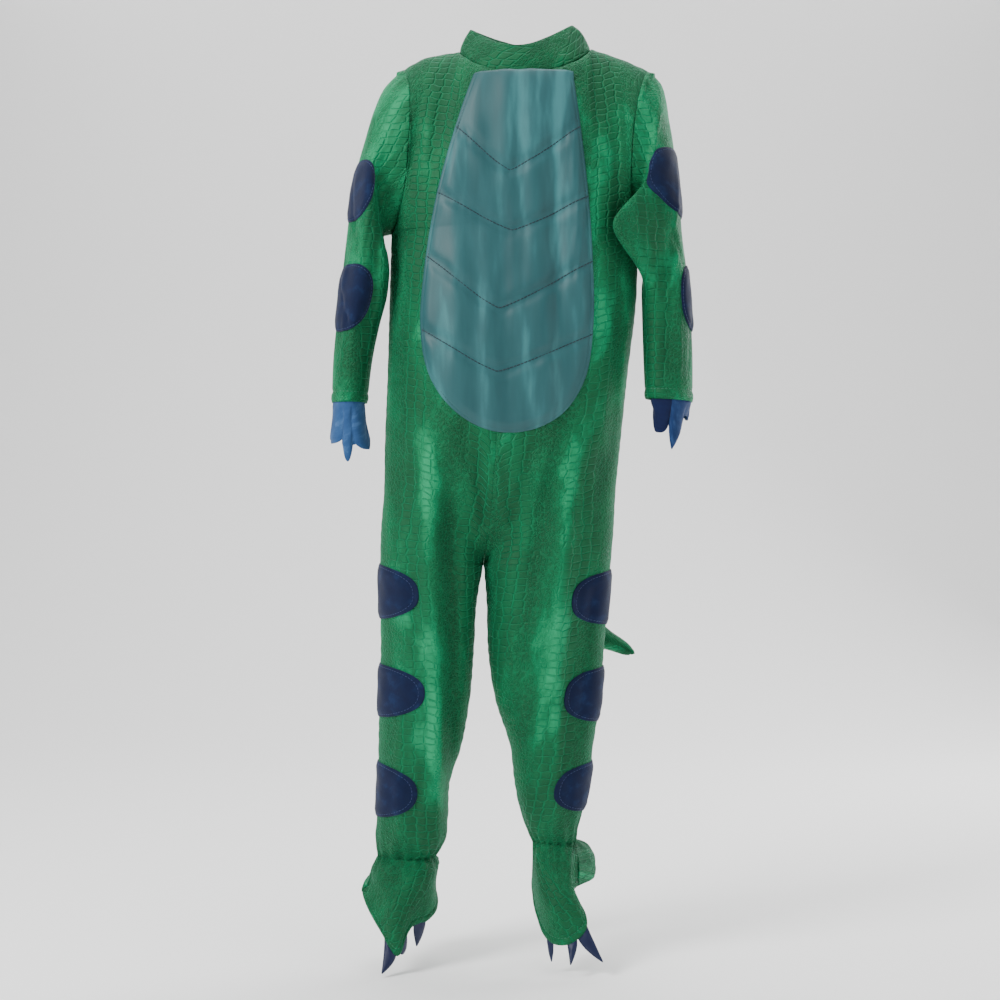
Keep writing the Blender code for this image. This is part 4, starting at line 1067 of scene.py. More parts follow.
base = neckLine(collar["samples"])
turns = np.linspace(-90, 270, len(base))
top = loopThrough(collarTop, turns)
rise = crowded(collar["rows"], 0.4)[:, None, None]
outer = base[None] + (top - base)[None] * rise
outer[..., 2] += collar["swell"] * np.sin(math.pi * rise[..., 0])
outNormals = gridNormals(outer, 1.0)
thick = collar["foot"] + (collar["top"] - collar["foot"]) * rise[..., 0]
wrinkle = ripple(turns[None] / 9, rise[..., 0] * 2.5, 0.4) * collar["wrinkle"]
wrinkle = wrinkle * np.sin(math.pi * np.clip(rise[..., 0], 0.02, 1)) ** 0.5
outer = outer + outNormals * wrinkle[..., None]
roundTop = np.linspace(0, math.pi, 9)[1:-1][:, None, None]
edge, out, wide = outer[-1][None], outNormals[-1][None], collar["top"] / 2
upward = unit(outer[-1] - outer[-2])
over = edge - out * wide * (1 - np.cos(roundTop)) + upward[None] * np.sin(roundTop) * wide * 0.9
inner = (outer - outNormals * thick[..., None])[::-1]
outer[0, :, 2] -= collar["tuck"]
dipFoot = 0.5 * bell(rise[..., 0] * collar["height"], body["seamWidth"])
outer = outer - outNormals * dipFoot[..., None]
around = np.concatenate([outer, over, inner, outer[:1]])
# The collar's wrinkle depth, as its fold value, gives painted shade in hollows and painted highlight on
# crests.
fold = np.concatenate([wrinkle, np.zeros((len(over), len(base))), wrinkle[::-1], wrinkle[:1]]) / 3
rows, columns = around.shape[:2]
ring = rows - 1
a = np.arange(ring // 2)
capFirst = np.stack([a, a + 1, ring - 1 - a, (ring - a) % ring], axis=1) * columns
capLast = capFirst[:, ::-1] + columns - 1
quads = np.concatenate([gridQuads(rows, columns), capFirst, capLast])
piece = makePiece("collar_cloth", around, quads, clothMap(around), {"fold": fold})
weld(piece)
dress(piece, velourMaterial, "collar")
print("collar made")


# The shoe covers hang limp below the elastic, through three rings each.
footRings = {
    "right": (
        table(
            "turn x y z",
            (0, -153, -8, -850), (40, -145, -30, -852), (85, -121, -38, -853),
            (130, -94, -28, -849), (165, -85, -6, -847), (205, -87, 18, -845),
            (270, -122, 34, -848), (320, -148, 20, -849),
        ),
        table(
            "turn x y z",
            (0, -156, -16, -863), (38, -144, -44, -872), (75, -126, -56, -880),
            (104, -108, -48, -874), (130, -94, -34, -872), (160, -87, -12, -867),
            (188, -90, 8, -856), (212, -86, 22, -850), (270, -123, 40, -857),
            (320, -152, 22, -856),
        ),
        table(
            "turn x y z",
            (0, -164, -20, -875), (38, -142, -54, -910), (74, -123, -64, -932),
            (104, -110, -48, -906), (130, -95, -36, -903), (160, -84, -12, -889),
            (188, -93, 8, -866), (212, -85, 24, -856), (270, -124, 48, -868),
            (320, -153, 24, -866),
        ),
    ),
    "left": (
        table(
            "turn x y z",
            (10, 59, -20, -834), (45, 54, -34, -838), (90, 38, -36, -840), (130, 23, -26, -838),
            (165, 16, -8, -836), (210, 18, 16, -836), (260, 38, 30, -835), (305, 67, 22, -829),
            (345, 67, 2, -830),
        ),
        table(
            "turn x y z",
            (10, 56, -26, -852), (45, 58, -48, -866), (90, 44, -58, -878), (130, 26, -46, -872),
            (165, 16, -18, -860), (210, 19, 20, -847), (260, 41, 40, -846), (305, 77, 32, -841),
            (345, 76, 6, -846),
        ),
        table(
            "turn x y z",
            (10, 58, -32, -872), (45, 71, -57, -897), (70, 66, -64, -910), (95, 50, -66, -920),
            (130, 28, -50, -917), (165, 16, -18, -890), (210, 20, 26, -859),
            (260, 44, 50, -857), (305, 78, 40, -855), (335, 82, 12, -866),
        ),
    ),
}
foot = {
    "knots": (0, 0.16, 0.5, 1),
    "rows": 64,
    "cloth": 1.4,
    "tuckUp": 0.8,
    "tuckIn": 0.1,
    "tuckFade": 4.0,
    "rumple": 0.8,
    "hem": 7.0,
    "flat": {"right": (0.36, 0.107), "left": (0.36, 0.107)},
    "area": {"right": 0.0125, "left": 0.0143},
}
footGrids, footNormals = {}, {}
for side in signs:
    low = np.array([legs[side]["z"][-1]])
    front, back = legRows(side, "front", low, u)[0], legRows(side, "back", low, u)[0]
    ring = np.concatenate([front, back[::-1][1:]])
    stations = np.stack([ring, *(loopThrough(rows, roundTurns) for rows in footRings[side])])
    at = crowded(foot["rows"], 0.5)
    grid = curveThrough(foot["knots"], stations.reshape(len(stations), -1), at).reshape(len(at), -1, 3)
    normals = gridNormals(grid, signs[side], True)
    across, along = clothLengths(grid)
    wave = gathers(roundTurns[None], along, ankle["fadeDown"])
    rumple = foot["rumple"] * ripple(roundTurns[None] / 14, along / 14, 2.0)
    wave = wave + rumple * np.clip(along / 12, 0, 1)
    shaped = grid + normals * wave[..., None]
    shaped = hemShape(shaped, normals, along, foot["hem"], 0.6)
    seam = np.concatenate([ankles[side, "front"], ankles[side, "back"][::-1][1:]])
    seam = seam + np.array([0, 0, foot["tuckUp"]]) - normals[0] * foot["tuckIn"]
    shaped = shaped + (seam - shaped[0]) * np.exp(-along / foot["tuckFade"])[..., None]
    footGrids[side], footNormals[side] = grid, normals
    name = f"foot_cover_{side}"
    # The gathers' and rumples' depth, as the fold value, gives painted shade in hollows and painted
    # highlight on crests.
    piece = clothPiece(f"{name}_cloth", name, shaped, signs[side], foot["cloth"],
                       velourMaterial, values={"fold": wave / 3}, closed=True)
    hemRow = np.argmin(np.abs(along[-1:] - along - foot["hem"]), axis=0)
    hemLine = hemRow, np.arange(len(roundTurns))
    stitchLine(f"shoe_cover_stitching_{side}", shaped[hemLine], normals[hemLine], greenThread,
               "edge")
print("shoe covers made")


# What is sewn on lies on the panels' own surface, a little above it.
panelNormals = {key: gridNormals(grid, signs[key[0]] * faces[key[1]]) for key, grid in panels.items()}
sewnOn = {"lift": 0.35, "spotCloth": 1.5, "roundness": 2.4}
aboveLegs = slice(body["legRows"] + body["riseRows"] - 14, None)


# A skin over two panels. Facing the wearer it runs over the centre seam, and at a side
# over the side seam.
def skinOver(one, other, rows, centre):
    way = -1 if centre else 1
    grid, normals = (joined(*(source[key][rows, ::way] for key in (one, other)))
                     for source in (panels, panelNormals))
    return {"grid": grid, "normals": normals}


# A turned edge: the rim rolls down, and the stitches lie in a groove.
def turnedEdge(away, form):
    roll = form["roll"] * bell(away, form["rollWidth"])
    return roll + form["groove"] * bell(away - form["hem"], form["grooveWidth"])


# A row of stitches along a flat line on a skin.
def sewOn(name, skin, line, lift, material, kind):
    place, up = layOn(skin, line[:, None], sewnOn["lift"] + lift)
    stitchLine(name, place[:, 0], up[:, 0], material, kind)


def facing(grid, normals):
    r, c = grid.shape[0] // 2, grid.shape[1] // 2
    turned = np.cross(grid[r, c + 1] - grid[r, c], grid[r + 1, c] - grid[r, c])
    return 1 if turned @ normals[r, c] > 0 else -1


def lineDistance(points, line):
    nearest = np.full(points.shape[:-1], 1e9)
    for start, end in zip(line[:-1], line[1:]):
        way = end - start
        t = np.clip(((points - start) @ way) / (way @ way), 0, 1)
        nearest = np.minimum(nearest, np.linalg.norm(points - start - t[..., None] * way, axis=-1))
    return nearest


# The belly: satin quilted along four chevrons, with soft folds that hang between them.
belly = {
    "columns": 120,
    "rows": 200,
    "cloth": 1.2,
    "puff": 2.3,
    "puffReach": 7.0,
    "folds": 1.5,
    "foldWidth": 11.0,
    "pucker": 0.28,
    "rumple": 0.22,
    "bend": 0.35,
    "hem": 3.0,
    "roll": 0.9,
    "rollWidth": 1.4,
    "groove": 0.5,
    "grooveWidth": 1.1,
    "topGap": 1.2,
    "flat": (0.185, 0.385),
    "area": 0.0565,
}
bellyOutline = table(
    "x z",
    (-45, -19), (-60, -62), (-79, -127), (-89, -172), (-97, -226), (-101, -281), (-95, -326),
    (-79, -358), (-55, -381), (-24, -394), (10, -393), (39, -380), (59, -358), (72, -326),
    (77, -275), (76, -217), (72, -155), (65, -90), (56, -19),
)
chevrons = table(
    "rightX rightZ midX midZ leftX leftZ",
    (-64, -79, -8.8, -125.8, 63, -80),
    (-83, -147, -6.4, -187.8, 71, -152),
    (-94, -213, -19.9, -268.3, 75.5, -219),
    (-99, -289, -21.5, -333.0, 75.5, -294),
)
steps = len(bellyOutline["x"])
outline = curveThrough(np.arange(steps), np.stack([*bellyOutline.values()], axis=1),
                       np.linspace(0, steps - 1, 400))
outline[[0, -1], 1] = neck["frontZ"] - belly["topGap"]
lowest = int(np.argmin(outline[:, 1]))
left = np.linspace(1, 0.004, belly["rows"])
z = outline[lowest, 1] + (outline[0, 1] - outline[lowest, 1]) * left**2 * 1.06 / (left + 0.06)
near = np.interp(z, outline[:lowest + 1][::-1, 1], outline[:lowest + 1][::-1, 0])
far = np.interp(z, outline[lowest:, 1], outline[lowest:, 0])
x = near[:, None] + (far - near)[:, None] * crowded(belly["columns"], 0.5)[None]
flat = np.stack([x, np.repeat(z[:, None], belly["columns"], axis=1)], axis=2)
lines, at = [], np.linspace(0, 2, 60)
for row in zip(*chevrons.values()):
    points = np.array(row).reshape(3, 2)
    bent = curveThrough([0, 1, 2], points, at) * belly["bend"]
    lines.append(bent + interpRows(at, [0, 1, 2], points) * (1 - belly["bend"]))
toLine = np.min([lineDistance(flat, line) for line in lines], axis=0)
toEdge = np.concatenate([lineDistance(rows, outline[::4]) for rows in np.array_split(flat, 8)])
quilt = belly["puff"] * (1 - bell(toLine, belly["puffReach"]))
hang = ripple(flat[..., 0] / belly["foldWidth"], flat[..., 1] / 85, 0.15) * belly["folds"]
hang = hang + ripple(flat[..., 0] / 4.2, flat[..., 1] / 34, 0.9) * belly["rumple"]
pull = np.sin(flat[..., 0] / 1.9 + 2 * np.sin(flat[..., 0] / 9))
pull = belly["pucker"] * pull * np.exp(-toLine / 6) * np.clip(toLine / 2, 0, 1)
raised = (quilt + hang) * smooth(toEdge, 0, 12) * smooth(toLine, -2, 9) + pull - turnedEdge(toEdge, belly)
front = skinOver(("right", "front"), ("left", "front"), aboveLegs, True)
front["flat"] = front["grid"][..., [0, 2]]
grid, normals = layOn(front, flat, sewnOn["lift"] + belly["cloth"] + raised)
piece = clothPiece("belly_satin", "belly_panel", grid, facing(grid, normals), belly["cloth"],
                   satinMaterial, uv=flat)
for k, line in enumerate(lines):
    sewOn(f"chevron_stitching_{k + 1}", front, line, belly["cloth"] + 0.1, tealThread, "chevron")
inward = np.gradient(outline, axis=0)
inward = unit(np.stack([-inward[:, 1], inward[:, 0]], axis=1))
hemLine = (outline + inward * belly["hem"])[4:-4]
sewOn("belly_edge_stitching", front, hemLine, belly["cloth"] - 0.4, tealThread, "bellyEdge")
print("belly made")


# The spots: full-bodied ovals of brushed cloth, with turned edges that are stitched down.
spot = {
    "cells": 56,
    "plump": 0.7,
    "ripples": 0.5,
    "hem": 2.4,
    "roll": 1.0,
    "rollWidth": 1.3,
    "groove": 0.45,
    "grooveWidth": 0.9,
    "turn": 0.65,
}
legSpots = {
    "right": table("z reach halfHeight", (-560, 79, 29), (-664, 79, 28), (-768, 71, 29)),
    "left": table("z reach halfHeight", (-566, 72, 29), (-668, 65, 29), (-765, 61, 26)),
}
sleeveSpots = {
    "right": table("z turn halfTurn halfHeight", (-142, 41, 50, 32), (-254, 54, 64, 35)),
    "left": table("z turn halfTurn halfHeight", (-131, 20, 78, 36), (-251, 12, 54, 35)),
}
sleeveSpotCut = {"right": ((71, 64, 39), (71, 70, 43)), "left": ((104, 72, 64), (58, 70, 35))}
# Of a full-bodied oval, in square centimetres to a square millimetre of half width times height.
spotArea = 0.0345


def ovalPlace(centre, reach, halfHeight, r, angle):
    cos, sin = np.cos(angle), np.sin(angle)
    x = reach * r * np.sign(cos) * np.abs(cos) ** (2 / sewnOn["roundness"])
    y = halfHeight * r * np.sign(sin) * np.abs(sin) ** (2 / sewnOn["roundness"])
    return np.stack([centre[0] + x, centre[1] + y], axis=-1)


def spotPiece(name, skin, centre, reach, halfHeight, cut):
    a, b = np.meshgrid(*[crowded(spot["cells"], 0.45) * 2 - 1] * 2)
    x, y = a * np.sqrt(1 - b * b / 2), b * np.sqrt(1 - a * a / 2)
    r, angle = np.hypot(x, y), np.arctan2(y, x)
    flat = ovalPlace(centre, reach, halfHeight, r, angle)
    away = (1 - r) * min(reach, halfHeight)
    shape = spot["ripples"] * ripple(flat[..., 0] / 9, flat[..., 1] / 9, centre[1]) * smooth(away, 2, 12)
    shape += spot["plump"] * smooth(away, spot["hem"], 7) - turnedEdge(away, spot)
    grid, normals = layOn(skin, flat, sewnOn["lift"] + sewnOn["spotCloth"] + shape)
    piece = clothPiece(f"{name}_cloth", name, grid, facing(grid, normals), sewnOn["spotCloth"],
                       spotMaterial, flat)
    cut[0] * mm
    cut[1] * mm
    cut[2] * 0.0001
    turn = np.linspace(0, 2 * math.pi, 120)
    ring = ovalPlace(centre, reach, halfHeight, 1 - spot["hem"] / min(reach, halfHeight), turn)
    sewOn(f"{name}_stitching", skin, ring, sewnOn["spotCloth"] - 0.2, navyThread, "edge")


for side in signs:
    rows = slice(0, body["legRows"] + body["riseRows"])
    skin = skinOver((side, "front"), (side, "back"), rows, False)
    across, _ = clothLengths(skin["grid"])
    across = across - across[:, body["columns"] - 1:body["columns"]]
    skin["flat"] = np.stack([across, skin["grid"][..., 2]], axis=2)
    for k, (z, reach, halfHeight) in enumerate(zip(*legSpots[side].values())):
        cut = (2 * reach, 2 * halfHeight, spotArea * reach * halfHeight)
        spotPiece(f"leg_spot_{side}_{k + 1}", skin, (0, z), reach, halfHeight, cut)
    grid, normals = fromInside(sleeveGrids[side]), fromInside(sleeveNormals[side])
    around = np.linspace(-180, 180, grid.shape[1])[None] * spot["turn"]
    flat = np.stack([np.repeat(around, len(grid), axis=0), grid[..., 2]], axis=2)
    skin = {"grid": grid, "normals": normals, "flat": flat}
    rows = zip(*sleeveSpots[side].values(), sleeveSpotCut[side])
    for k, (z, turn, halfTurn, halfHeight, cut) in enumerate(rows):
        spotPiece(f"sleeve_spot_{side}_{k + 1}", skin, (turn * spot["turn"], z), halfTurn * spot["turn"],
                  halfHeight, cut)
print("spots made")


# The back opens down its centre, under a strip that closes over it with hook-and-loop.
closure = {
    "halfWidth": 13.0,
    "top": 2.0,
    "low": -392.0,
    "roundness": 5.0,
    "cloth": 1.8,
    "ripples": 0.5,
    "hem": 3.0,
    "roll": 0.9,
    "rollWidth": 1.4,
    "groove": 0.5,
    "grooveWidth": 1.0,
    "flat": (0.026, 0.394),
    "area": 0.0101,
}
back = skinOver(("right", "back"), ("left", "back"), aboveLegs, True)
middle = back["grid"][:, body["columns"] - 1, 0][:, None]
back["flat"] = np.stack([back["grid"][..., 0] - middle, back["grid"][..., 2]], axis=2)
t = crowded(220, 0.3)[:, None]
a = crowded(26, 0.5)[None] * 2 - 1
low = closure["low"] + closure["roundness"] * np.abs(a)
flat = np.stack(np.broadcast_arrays(
    closure["halfWidth"] * a, closure["top"] + (low - closure["top"]) * t), axis=2)
toEdge = np.minimum(closure["halfWidth"] * (1 - np.abs(a)), flat[..., 1] - low)
raised = 0.5 * smooth(toEdge, 1, 5) - turnedEdge(toEdge, closure)
raised += closure["ripples"] * ripple(flat[..., 0] / 12, flat[..., 1] / 22, 0.5) * smooth(toEdge, 1, 6)
grid, normals = layOn(back, flat, sewnOn["lift"] + closure["cloth"] + raised)
# The strip's relief, as its fold value, gives painted shade along the rolled edges and painted highlight on
# the raised middle.
piece = clothPiece("closure_cloth", "closure_strip", grid, facing(grid, normals), closure["cloth"],
                   velourMaterial, flat, {"fold": raised / 2})
for k, aside in enumerate((-1, 1)):
    x = aside * (closure["halfWidth"] - closure["hem"])
    line = np.stack([np.full(200, x), np.linspace(closure["top"] - 3, closure["low"] + 6, 200)], axis=1)
    sewOn(f"closure_stitching_{k + 1}", back, line, closure["cloth"] - 0.3, greenThread,
          "closure")
print("closure made")


# A doubled or stuffed piece: two skins that meet round their rim.
def pillow(name, sheet, away, half, material, node, values=None):
    rows, columns = sheet.shape[:2]
    count = rows * columns
    uv = clothMap(sheet)
    out = away * half[..., None]
    flip = facing(sheet, away) < 0
    quads = [gridQuads(rows, columns, flip), gridQuads(rows, columns, not flip, count)]
    index = np.arange(count).reshape(rows, columns)
    loop = np.concatenate([index[0, :-1], index[:-1, -1], index[-1, :0:-1], index[:0:-1, 0]])
    ahead = np.roll(loop, -1)
    rim = np.stack([ahead, loop, loop + count, ahead + count], axis=1)
    quads.append(rim[:, ::-1] if flip else rim)
    doubled = {key: np.concatenate([v.ravel(), v.ravel()]) for key, v in (values or {}).items()}
    points = np.concatenate([sheet + out, sheet - out])
    piece = makePiece(name, points, np.concatenate(quads), np.concatenate([uv, uv]), doubled)
    return dress(piece, material, node)


# Reads places just inside a hem by turn, with the cloth's way down and its way out.
def hemReader(turns, grid, normals, depth):
    sources = (grid[-1] - normals[-1] * depth, unit(grid[-1] - grid[-4]), normals[-1])
    return lambda turn: [interpRows(np.mod(turn, 360), turns, values) for values in sources]


# Rows from inside a hem, along the cloth's own way, that bend to each column's tip.
def hangingSheet(edge, drop, tips, rows, tuck):
    t = np.linspace(0, 1, rows)[:, None, None]
    start = edge - drop * tuck
    length = np.linalg.norm(tips - start, axis=1, keepdims=True)
    bend = start + drop * length * 0.35
    sheet = start * (1 - t) ** 2 + bend * 2 * t * (1 - t) + tips * t**2
    return sheet, unit(np.cross(np.gradient(sheet, axis=1), np.gradient(sheet, axis=0)))


# The hand flaps: mittens of doubled cloth with three fingers, stitched inside the cuff.
handFlaps = {
    "right": {
        "start": -4, "end": 172, "spread": 3.0, "palm": 37.0, "cut": (0.084, 0.066), "area": 0.0037,
        "fingers": table(
            "turn halfTurn length point lean",
            (30, 44, 43, 3, 0),
            (92, 18, 62, 2.0, 0),
            (142, 40, 49, 3, 5),
        ),
    },
    "left": {
        "start": -44, "end": 156, "spread": -2.0, "palm": 16.0, "cut": (0.088, 0.056), "area": 0.0029,
        "fingers": table(
            "turn halfTurn length point lean",
            (-18, 24, 20, 3, 0),
            (70, 27, 52, 1.2, -7),
            (122, 34, 36, 3, -2),
        ),
    },
}
flap = {
    "columns": 150,
    "rows": 46,
    "half": 1.3,
    "rim": 0.35,
    "thinnest": 0.25,
    "stitched": 2.6,
    "groove": 0.45,
    "crease": 1.1,
    "webDepth": 1.6,
    "tuck": 3.0,
    "depth": 2.4,
    "shadeFrom": 92,
}
for side, spec in handFlaps.items():
    turn = np.linspace(spec["start"], spec["end"], flap["columns"])
    even = np.linspace(0, 360, sleeve["columns"] + 1)
    edge, drop, out = hemReader(even, sleeveGrids[side], sleeveNormals[side], flap["depth"])(turn)
    length = np.full(len(turn), spec["palm"])
    trough, aside = np.ones(len(turn)), np.zeros(len(turn))
    for centre, halfTurn, finger, point, lean in zip(*spec["fingers"].values()):
        off = np.clip(np.abs(turn - centre) / halfTurn, 0, 1)
        share = (1 - off**point) ** 0.7
        reach = spec["palm"] + (finger - spec["palm"]) * share
        aside = np.where(reach > length, lean * share, aside)
        length = np.maximum(length, reach)
        trough = np.minimum(trough, np.clip(off * 1.1, 0, 1))
    end = np.minimum(turn - turn[0], turn[-1] - turn) / (turn[1] - turn[0]) * 26 / flap["columns"]
    length *= 0.8 + 0.2 * np.clip(end / 2.5, 0, 1)
    tips = edge + out * spec["spread"]
    tips[:, 0] += aside
    tips[:, 2] -= length
    sheet, away = hangingSheet(edge, drop, tips, flap["rows"], flap["tuck"])
    away *= np.sign((away[:1] * out).sum(axis=2, keepdims=True))
    across, along = clothLengths(sheet)
    toEdge = np.minimum(np.minimum(across, across[:, -1:] - across), along[-1:] - along)
    between = trough[None] ** 4 * smooth(along, 6, 16)
    crease = flap["crease"] * ripple(across / 13, along / 17, 0.7)
    crease *= smooth(toEdge, 1, 8) * smooth(along, 2, 9)
    sheet = sheet + away * (crease - flap["webDepth"] * between)[..., None]
    full = np.sqrt(np.clip(toEdge / 5, 0, 1)) * (1 - 0.5 * between)
    half = flap["rim"] + (flap["half"] - flap["rim"]) * full
    half -= flap["groove"] * bell(toEdge - flap["stitched"], 0.9)
    # Painted shade on the left flap's fingers past that turn.
    shadedPart = (turn > flap["shadeFrom"])[None] * (side == "left") * np.ones((flap["rows"], 1))
    material = handMaterial if side == "right" else shadedHandMaterial
    piece = pillow(f"hand_flap_{side}_cloth", sheet, away, np.maximum(half, flap["thinnest"]),
                   material, f"hand_flap_{side}", {"part": shadedPart})
print("hand flaps made")


# The toe claws: small stuffed cones sewn inside the toe's hem.
toeClaws = {
    "right": table(
        "turn halfTurn tipX tipY tipZ puff",
        (56, 13, -140, -72, -948, 5),
        (88, 8, -118, -28, -930, 5),
        (119, 11, -106, -33, -929, 5),
    ),
    "left": table(
        "turn halfTurn tipX tipY tipZ puff",
        (65, 14, 86, -72, -936, 5),
        (88, 8, 53, -76, -938, 5),
        (124, 6, 34, -54, -940, 5),
    ),
}
claw = {"columns": 26, "rows": 44, "tuck": 2.5, "depth": 1.8, "tip": 0.7, "dents": 0.12, "fill": 0.6}
for side in signs:
    reader = hemReader(roundTurns, footGrids[side], footNormals[side], claw["depth"])
    for k, (turn, halfTurn, x, y, z, puff) in enumerate(zip(*toeClaws[side].values())):
        spread = np.sin(np.linspace(-math.pi / 2, math.pi / 2, claw["columns"]))
        edge, drop, out = reader(turn + spread * halfTurn)
        across = unit(edge[-1] - edge[0])
        tips = np.array([x, y, z]) + spread[:, None] * across * claw["tip"]
        sheet, away = hangingSheet(edge, drop, tips, claw["rows"], claw["tuck"])
        away *= np.sign((away[:1] * out).sum(axis=2, keepdims=True))
        t = np.linspace(0, 1, claw["rows"])[:, None]
        fat = np.interp(t, [0, 0.25, 0.5, 0.75, 1], [0.45, 0.85, 1.0, 0.75, 0.2])
        half = puff / 2 * fat * np.sqrt(np.clip(1 - spread**2, 0.004, 1))[None]
        half = half * (1 + claw["dents"] * ripple(t * 9, spread[None] * 2, 1.0 + k))
        piece = pillow(f"claw_{side}_{k + 1}", sheet, away, half, clawMaterial,
                       f"toe_claw_{side}_{k + 1}")
print("claws made")


# The tail: a stuffed cone on a bent spine. Its base is sewn to the seat.
tailTable = table(
    "x y z radius",
    (-20, 62, -452, 43), (-18, 86, -471, 42), (-13, 101, -498, 38), (-3, 109, -531, 33),
    (20, 114, -567, 27), (54, 117, -597, 20), (91, 115, -616, 13.5), (119, 112, -629, 7.5),
    (130, 111, -635, 3),
)
tail = {
    "rows": 150,
    "sides": 96,
    "liftOff": 0.35,
    "join": 1 / 12,
    "seat": 0.8,
    "seam": 0.9,
    "seamWidth": 1.6,
    "wrinkle": 1.3,
    "soft": 0.9,
    "gathered": 0.9,
    "gathers": 22,
    "inside": (0.6, -0.2, 0.8),
    "fill": 0.55,
}
knots = np.linspace(0, 1, len(tailTable["x"]))
at = np.linspace(0, 1, tail["rows"])
at = np.concatenate([np.linspace(0, tail["join"], 14)[:-1], at[at >= tail["join"]]])


def tailRings(at):
    values = np.stack([*tailTable.values()], axis=1)
    spine, radius = np.split(curveThrough(knots, values, at), [3], axis=1)
    step = 0.004
    near, after = (curveThrough(knots, values[:, :3], np.clip(at + s, 0, 1)) for s in (-step, step))
    swing = np.clip(at / tail["liftOff"], 0, 1)[:, None]
    ahead = unit(unit(after - near) * swing + np.array([0, 1, 0]) * (1 - swing))
    across = unit(np.cross(ahead, (0, 0, 1.0)))
    up = np.cross(across, ahead)
    angle = np.linspace(0, 2 * math.pi, tail["sides"] + 1)[None, :, None]
    spread = radius[:, None] * (np.cos(angle) * across[:, None] + np.sin(angle) * up[:, None])
    return spine[:, None] + spread, spine, ahead, radius[:, 0], angle[0, :, 0]


rings, spine, ahead, radius, angle = tailRings(at)
first = tailRings(np.array([0.0, tail["join"]]))[0]
back["flat"] = back["grid"][..., [0, 2]]
base, _ = layOn(back, first[0][:, [0, 2]][:, None], 0.0)
base = base[:, 0] + np.array([0, tail["seat"], 0])
join = np.clip(at / tail["join"], 0, 1)[:, None, None]
join = smooth(join, 0, 1) * 0.5 + join * 0.5
rings = np.where(at[:, None, None] < tail["join"], base[None] * (1 - join) + first[1][None] * join, rings)
inside = (rings - spine[:, None]) @ np.array(tail["inside"]) / np.maximum(radius[:, None], 1)
inside = np.clip(inside, 0, 1)
length = runLength(spine)[:, None]
wrinkle = tail["wrinkle"] * np.sin(length / 3.6 + 1.2 * np.sin(angle * 2)[None]) * inside**2
wrinkle = wrinkle * smooth(at, 0.12, 0.3)[:, None] * (1 - smooth(at, 0.62, 0.85))[:, None]
soft = tail["soft"] * ripple(length / 14, (radius[:, None] * angle[None]) / 16, 0.6)
soft = soft * np.clip(at * 8, 0, 1)[:, None] * (radius[:, None] > 4)
grooves = sum(bell(radius[:, None] * (angle[None] - place), tail["seamWidth"])
              for place in (math.pi / 2, 3 * math.pi / 2))
gathered = tail["gathered"] * np.cos(angle * tail["gathers"])[None] * np.exp(-length / 9)
relief = wrinkle + soft - tail["seam"] * grooves + gathered
rings = rings + gridNormals(rings, -1.0, True) * relief[..., None]
tip = spine[-1] + ahead[-1] * radius[-1] * 0.7
rounded = rings[-1] * 0.62 + (tip - ahead[-1] * 0.5) * 0.38
cap = np.stack([rounded, np.repeat(tip[None], len(angle), axis=0)])
centre, _ = layOn(back, spine[0][[0, 2]][None, None], 0.0)
seatRing = spine[0] + (first[0] - spine[0]) * 0.5
inner, _ = layOn(back, seatRing[:, [0, 2]][:, None], 0.0)
bottom = np.stack([np.repeat(centre[0], len(angle), axis=0) + np.array([0, 3.8, 0]),
                   inner[:, 0] + np.array([0, 2.8, 0])])
surface = np.concatenate([bottom, rings, cap])
# The tail's wrinkle depth, as its fold value, gives painted shade in hollows and painted highlight on
# crests.
fold = np.concatenate([np.zeros((2, len(angle))), wrinkle / 1.5, np.zeros((2, len(angle)))])
around, down = surface[60, 1] - surface[60, 0], surface[61, 0] - surface[60, 0]
turnedIn = np.cross(around, down) @ (surface[60, 0] - spine[58]) < 0
quads = gridQuads(*surface.shape[:2], flip=turnedIn)
piece = makePiece("tail_cloth", surface, quads, clothMap(surface), {"fold": fold})
weld(piece)
dress(piece, velourMaterial, "tail")
print("tail made")


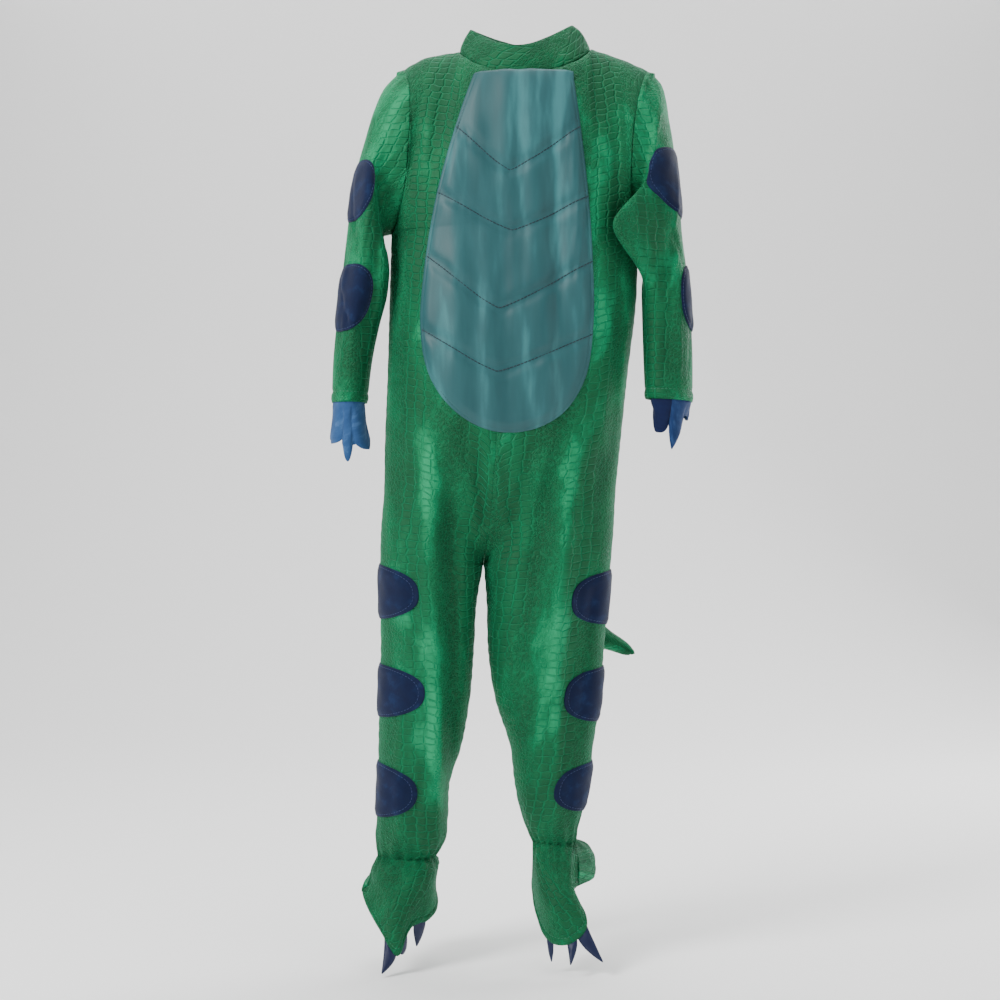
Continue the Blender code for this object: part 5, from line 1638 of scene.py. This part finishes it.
# The setting: a pale floor that curves up behind, soft light from both sides, and the
# photograph's view.
setting = {
    "floor": -0.9525,
    "eye": (-0.0191, -2.0, -0.464),
    "lens": 67.92,
    "lights": (
        ("key", (-1.35, -1.1, 0.75), 0.7, 50),
        ("fill", (1.9, -1.5, 0.1), 1.6, 15),
        ("top", (0.1, 0.1, 1.5), 1.2, 20),
        ("back", (1.5, 1.3, 0.2), 1.2, 30),
        ("sweep", (0.0, 1.6, 1.6), 2.6, 60),
    ),
    "aim": (0.0, 0.0, -0.45),
    "sky": 0.32,
    "paper": 0.97,
}
angle = np.linspace(0, math.pi / 2, 24)
profile = np.concatenate([
    [[-4.0, 0.0]],
    np.stack([1.6 + np.sin(angle), 1 - np.cos(angle)], axis=1),
    [[2.6, 4.5]],
])
wide = np.array([-5.0, 5.0])
floorPoints = np.stack([
    np.repeat(wide[None], len(profile), axis=0),
    np.repeat(profile[:, :1], 2, axis=1),
    np.repeat(profile[:, 1:], 2, axis=1) + setting["floor"],
], axis=2)
mesh = bpy.data.meshes.new("floor")
mesh.from_pydata(floorPoints.reshape(-1, 3).tolist(), [], gridQuads(len(profile), 2).tolist())
mesh.shade_smooth()
floor = bpy.data.objects.new("floor", mesh)
bpy.context.scene.collection.objects.link(floor)
paper = Finish("paper").set(Base_Color=(*[setting["paper"]] * 3, 1), Roughness=0.9)
floor.data.materials.append(paper.material)
floor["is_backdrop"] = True
for name, place, size, watts in setting["lights"]:
    lamp = bpy.data.lights.new(name, "AREA")
    lamp.energy, lamp.size = watts, size
    light = bpy.data.objects.new(name, lamp)
    light.location = place
    aim = np.array(setting["aim"]) - np.array(place)
    tilt = math.atan2(math.hypot(aim[0], aim[1]), -aim[2])
    light.rotation_euler = (tilt, 0, math.atan2(-aim[0], aim[1]))
    bpy.context.scene.collection.objects.link(light)
world = bpy.data.worlds.new("soft sky")
world.use_nodes = True
sky = world.node_tree.nodes["Background"].inputs
sky["Color"].default_value = (1, 1, 1, 1)
sky["Strength"].default_value = setting["sky"]
bpy.context.scene.world = world
lens = bpy.data.cameras.new("eye")
lens.lens, lens.sensor_width = setting["lens"], 36
camera = bpy.data.objects.new("eye", lens)
camera.location = setting["eye"]
camera.rotation_euler = (math.pi / 2, 0, 0)
bpy.context.scene.collection.objects.link(camera)
bpy.context.scene.camera = camera

size = {"cad": [list(v) for v in cadBox], "visual": [list(v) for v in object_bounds()]}
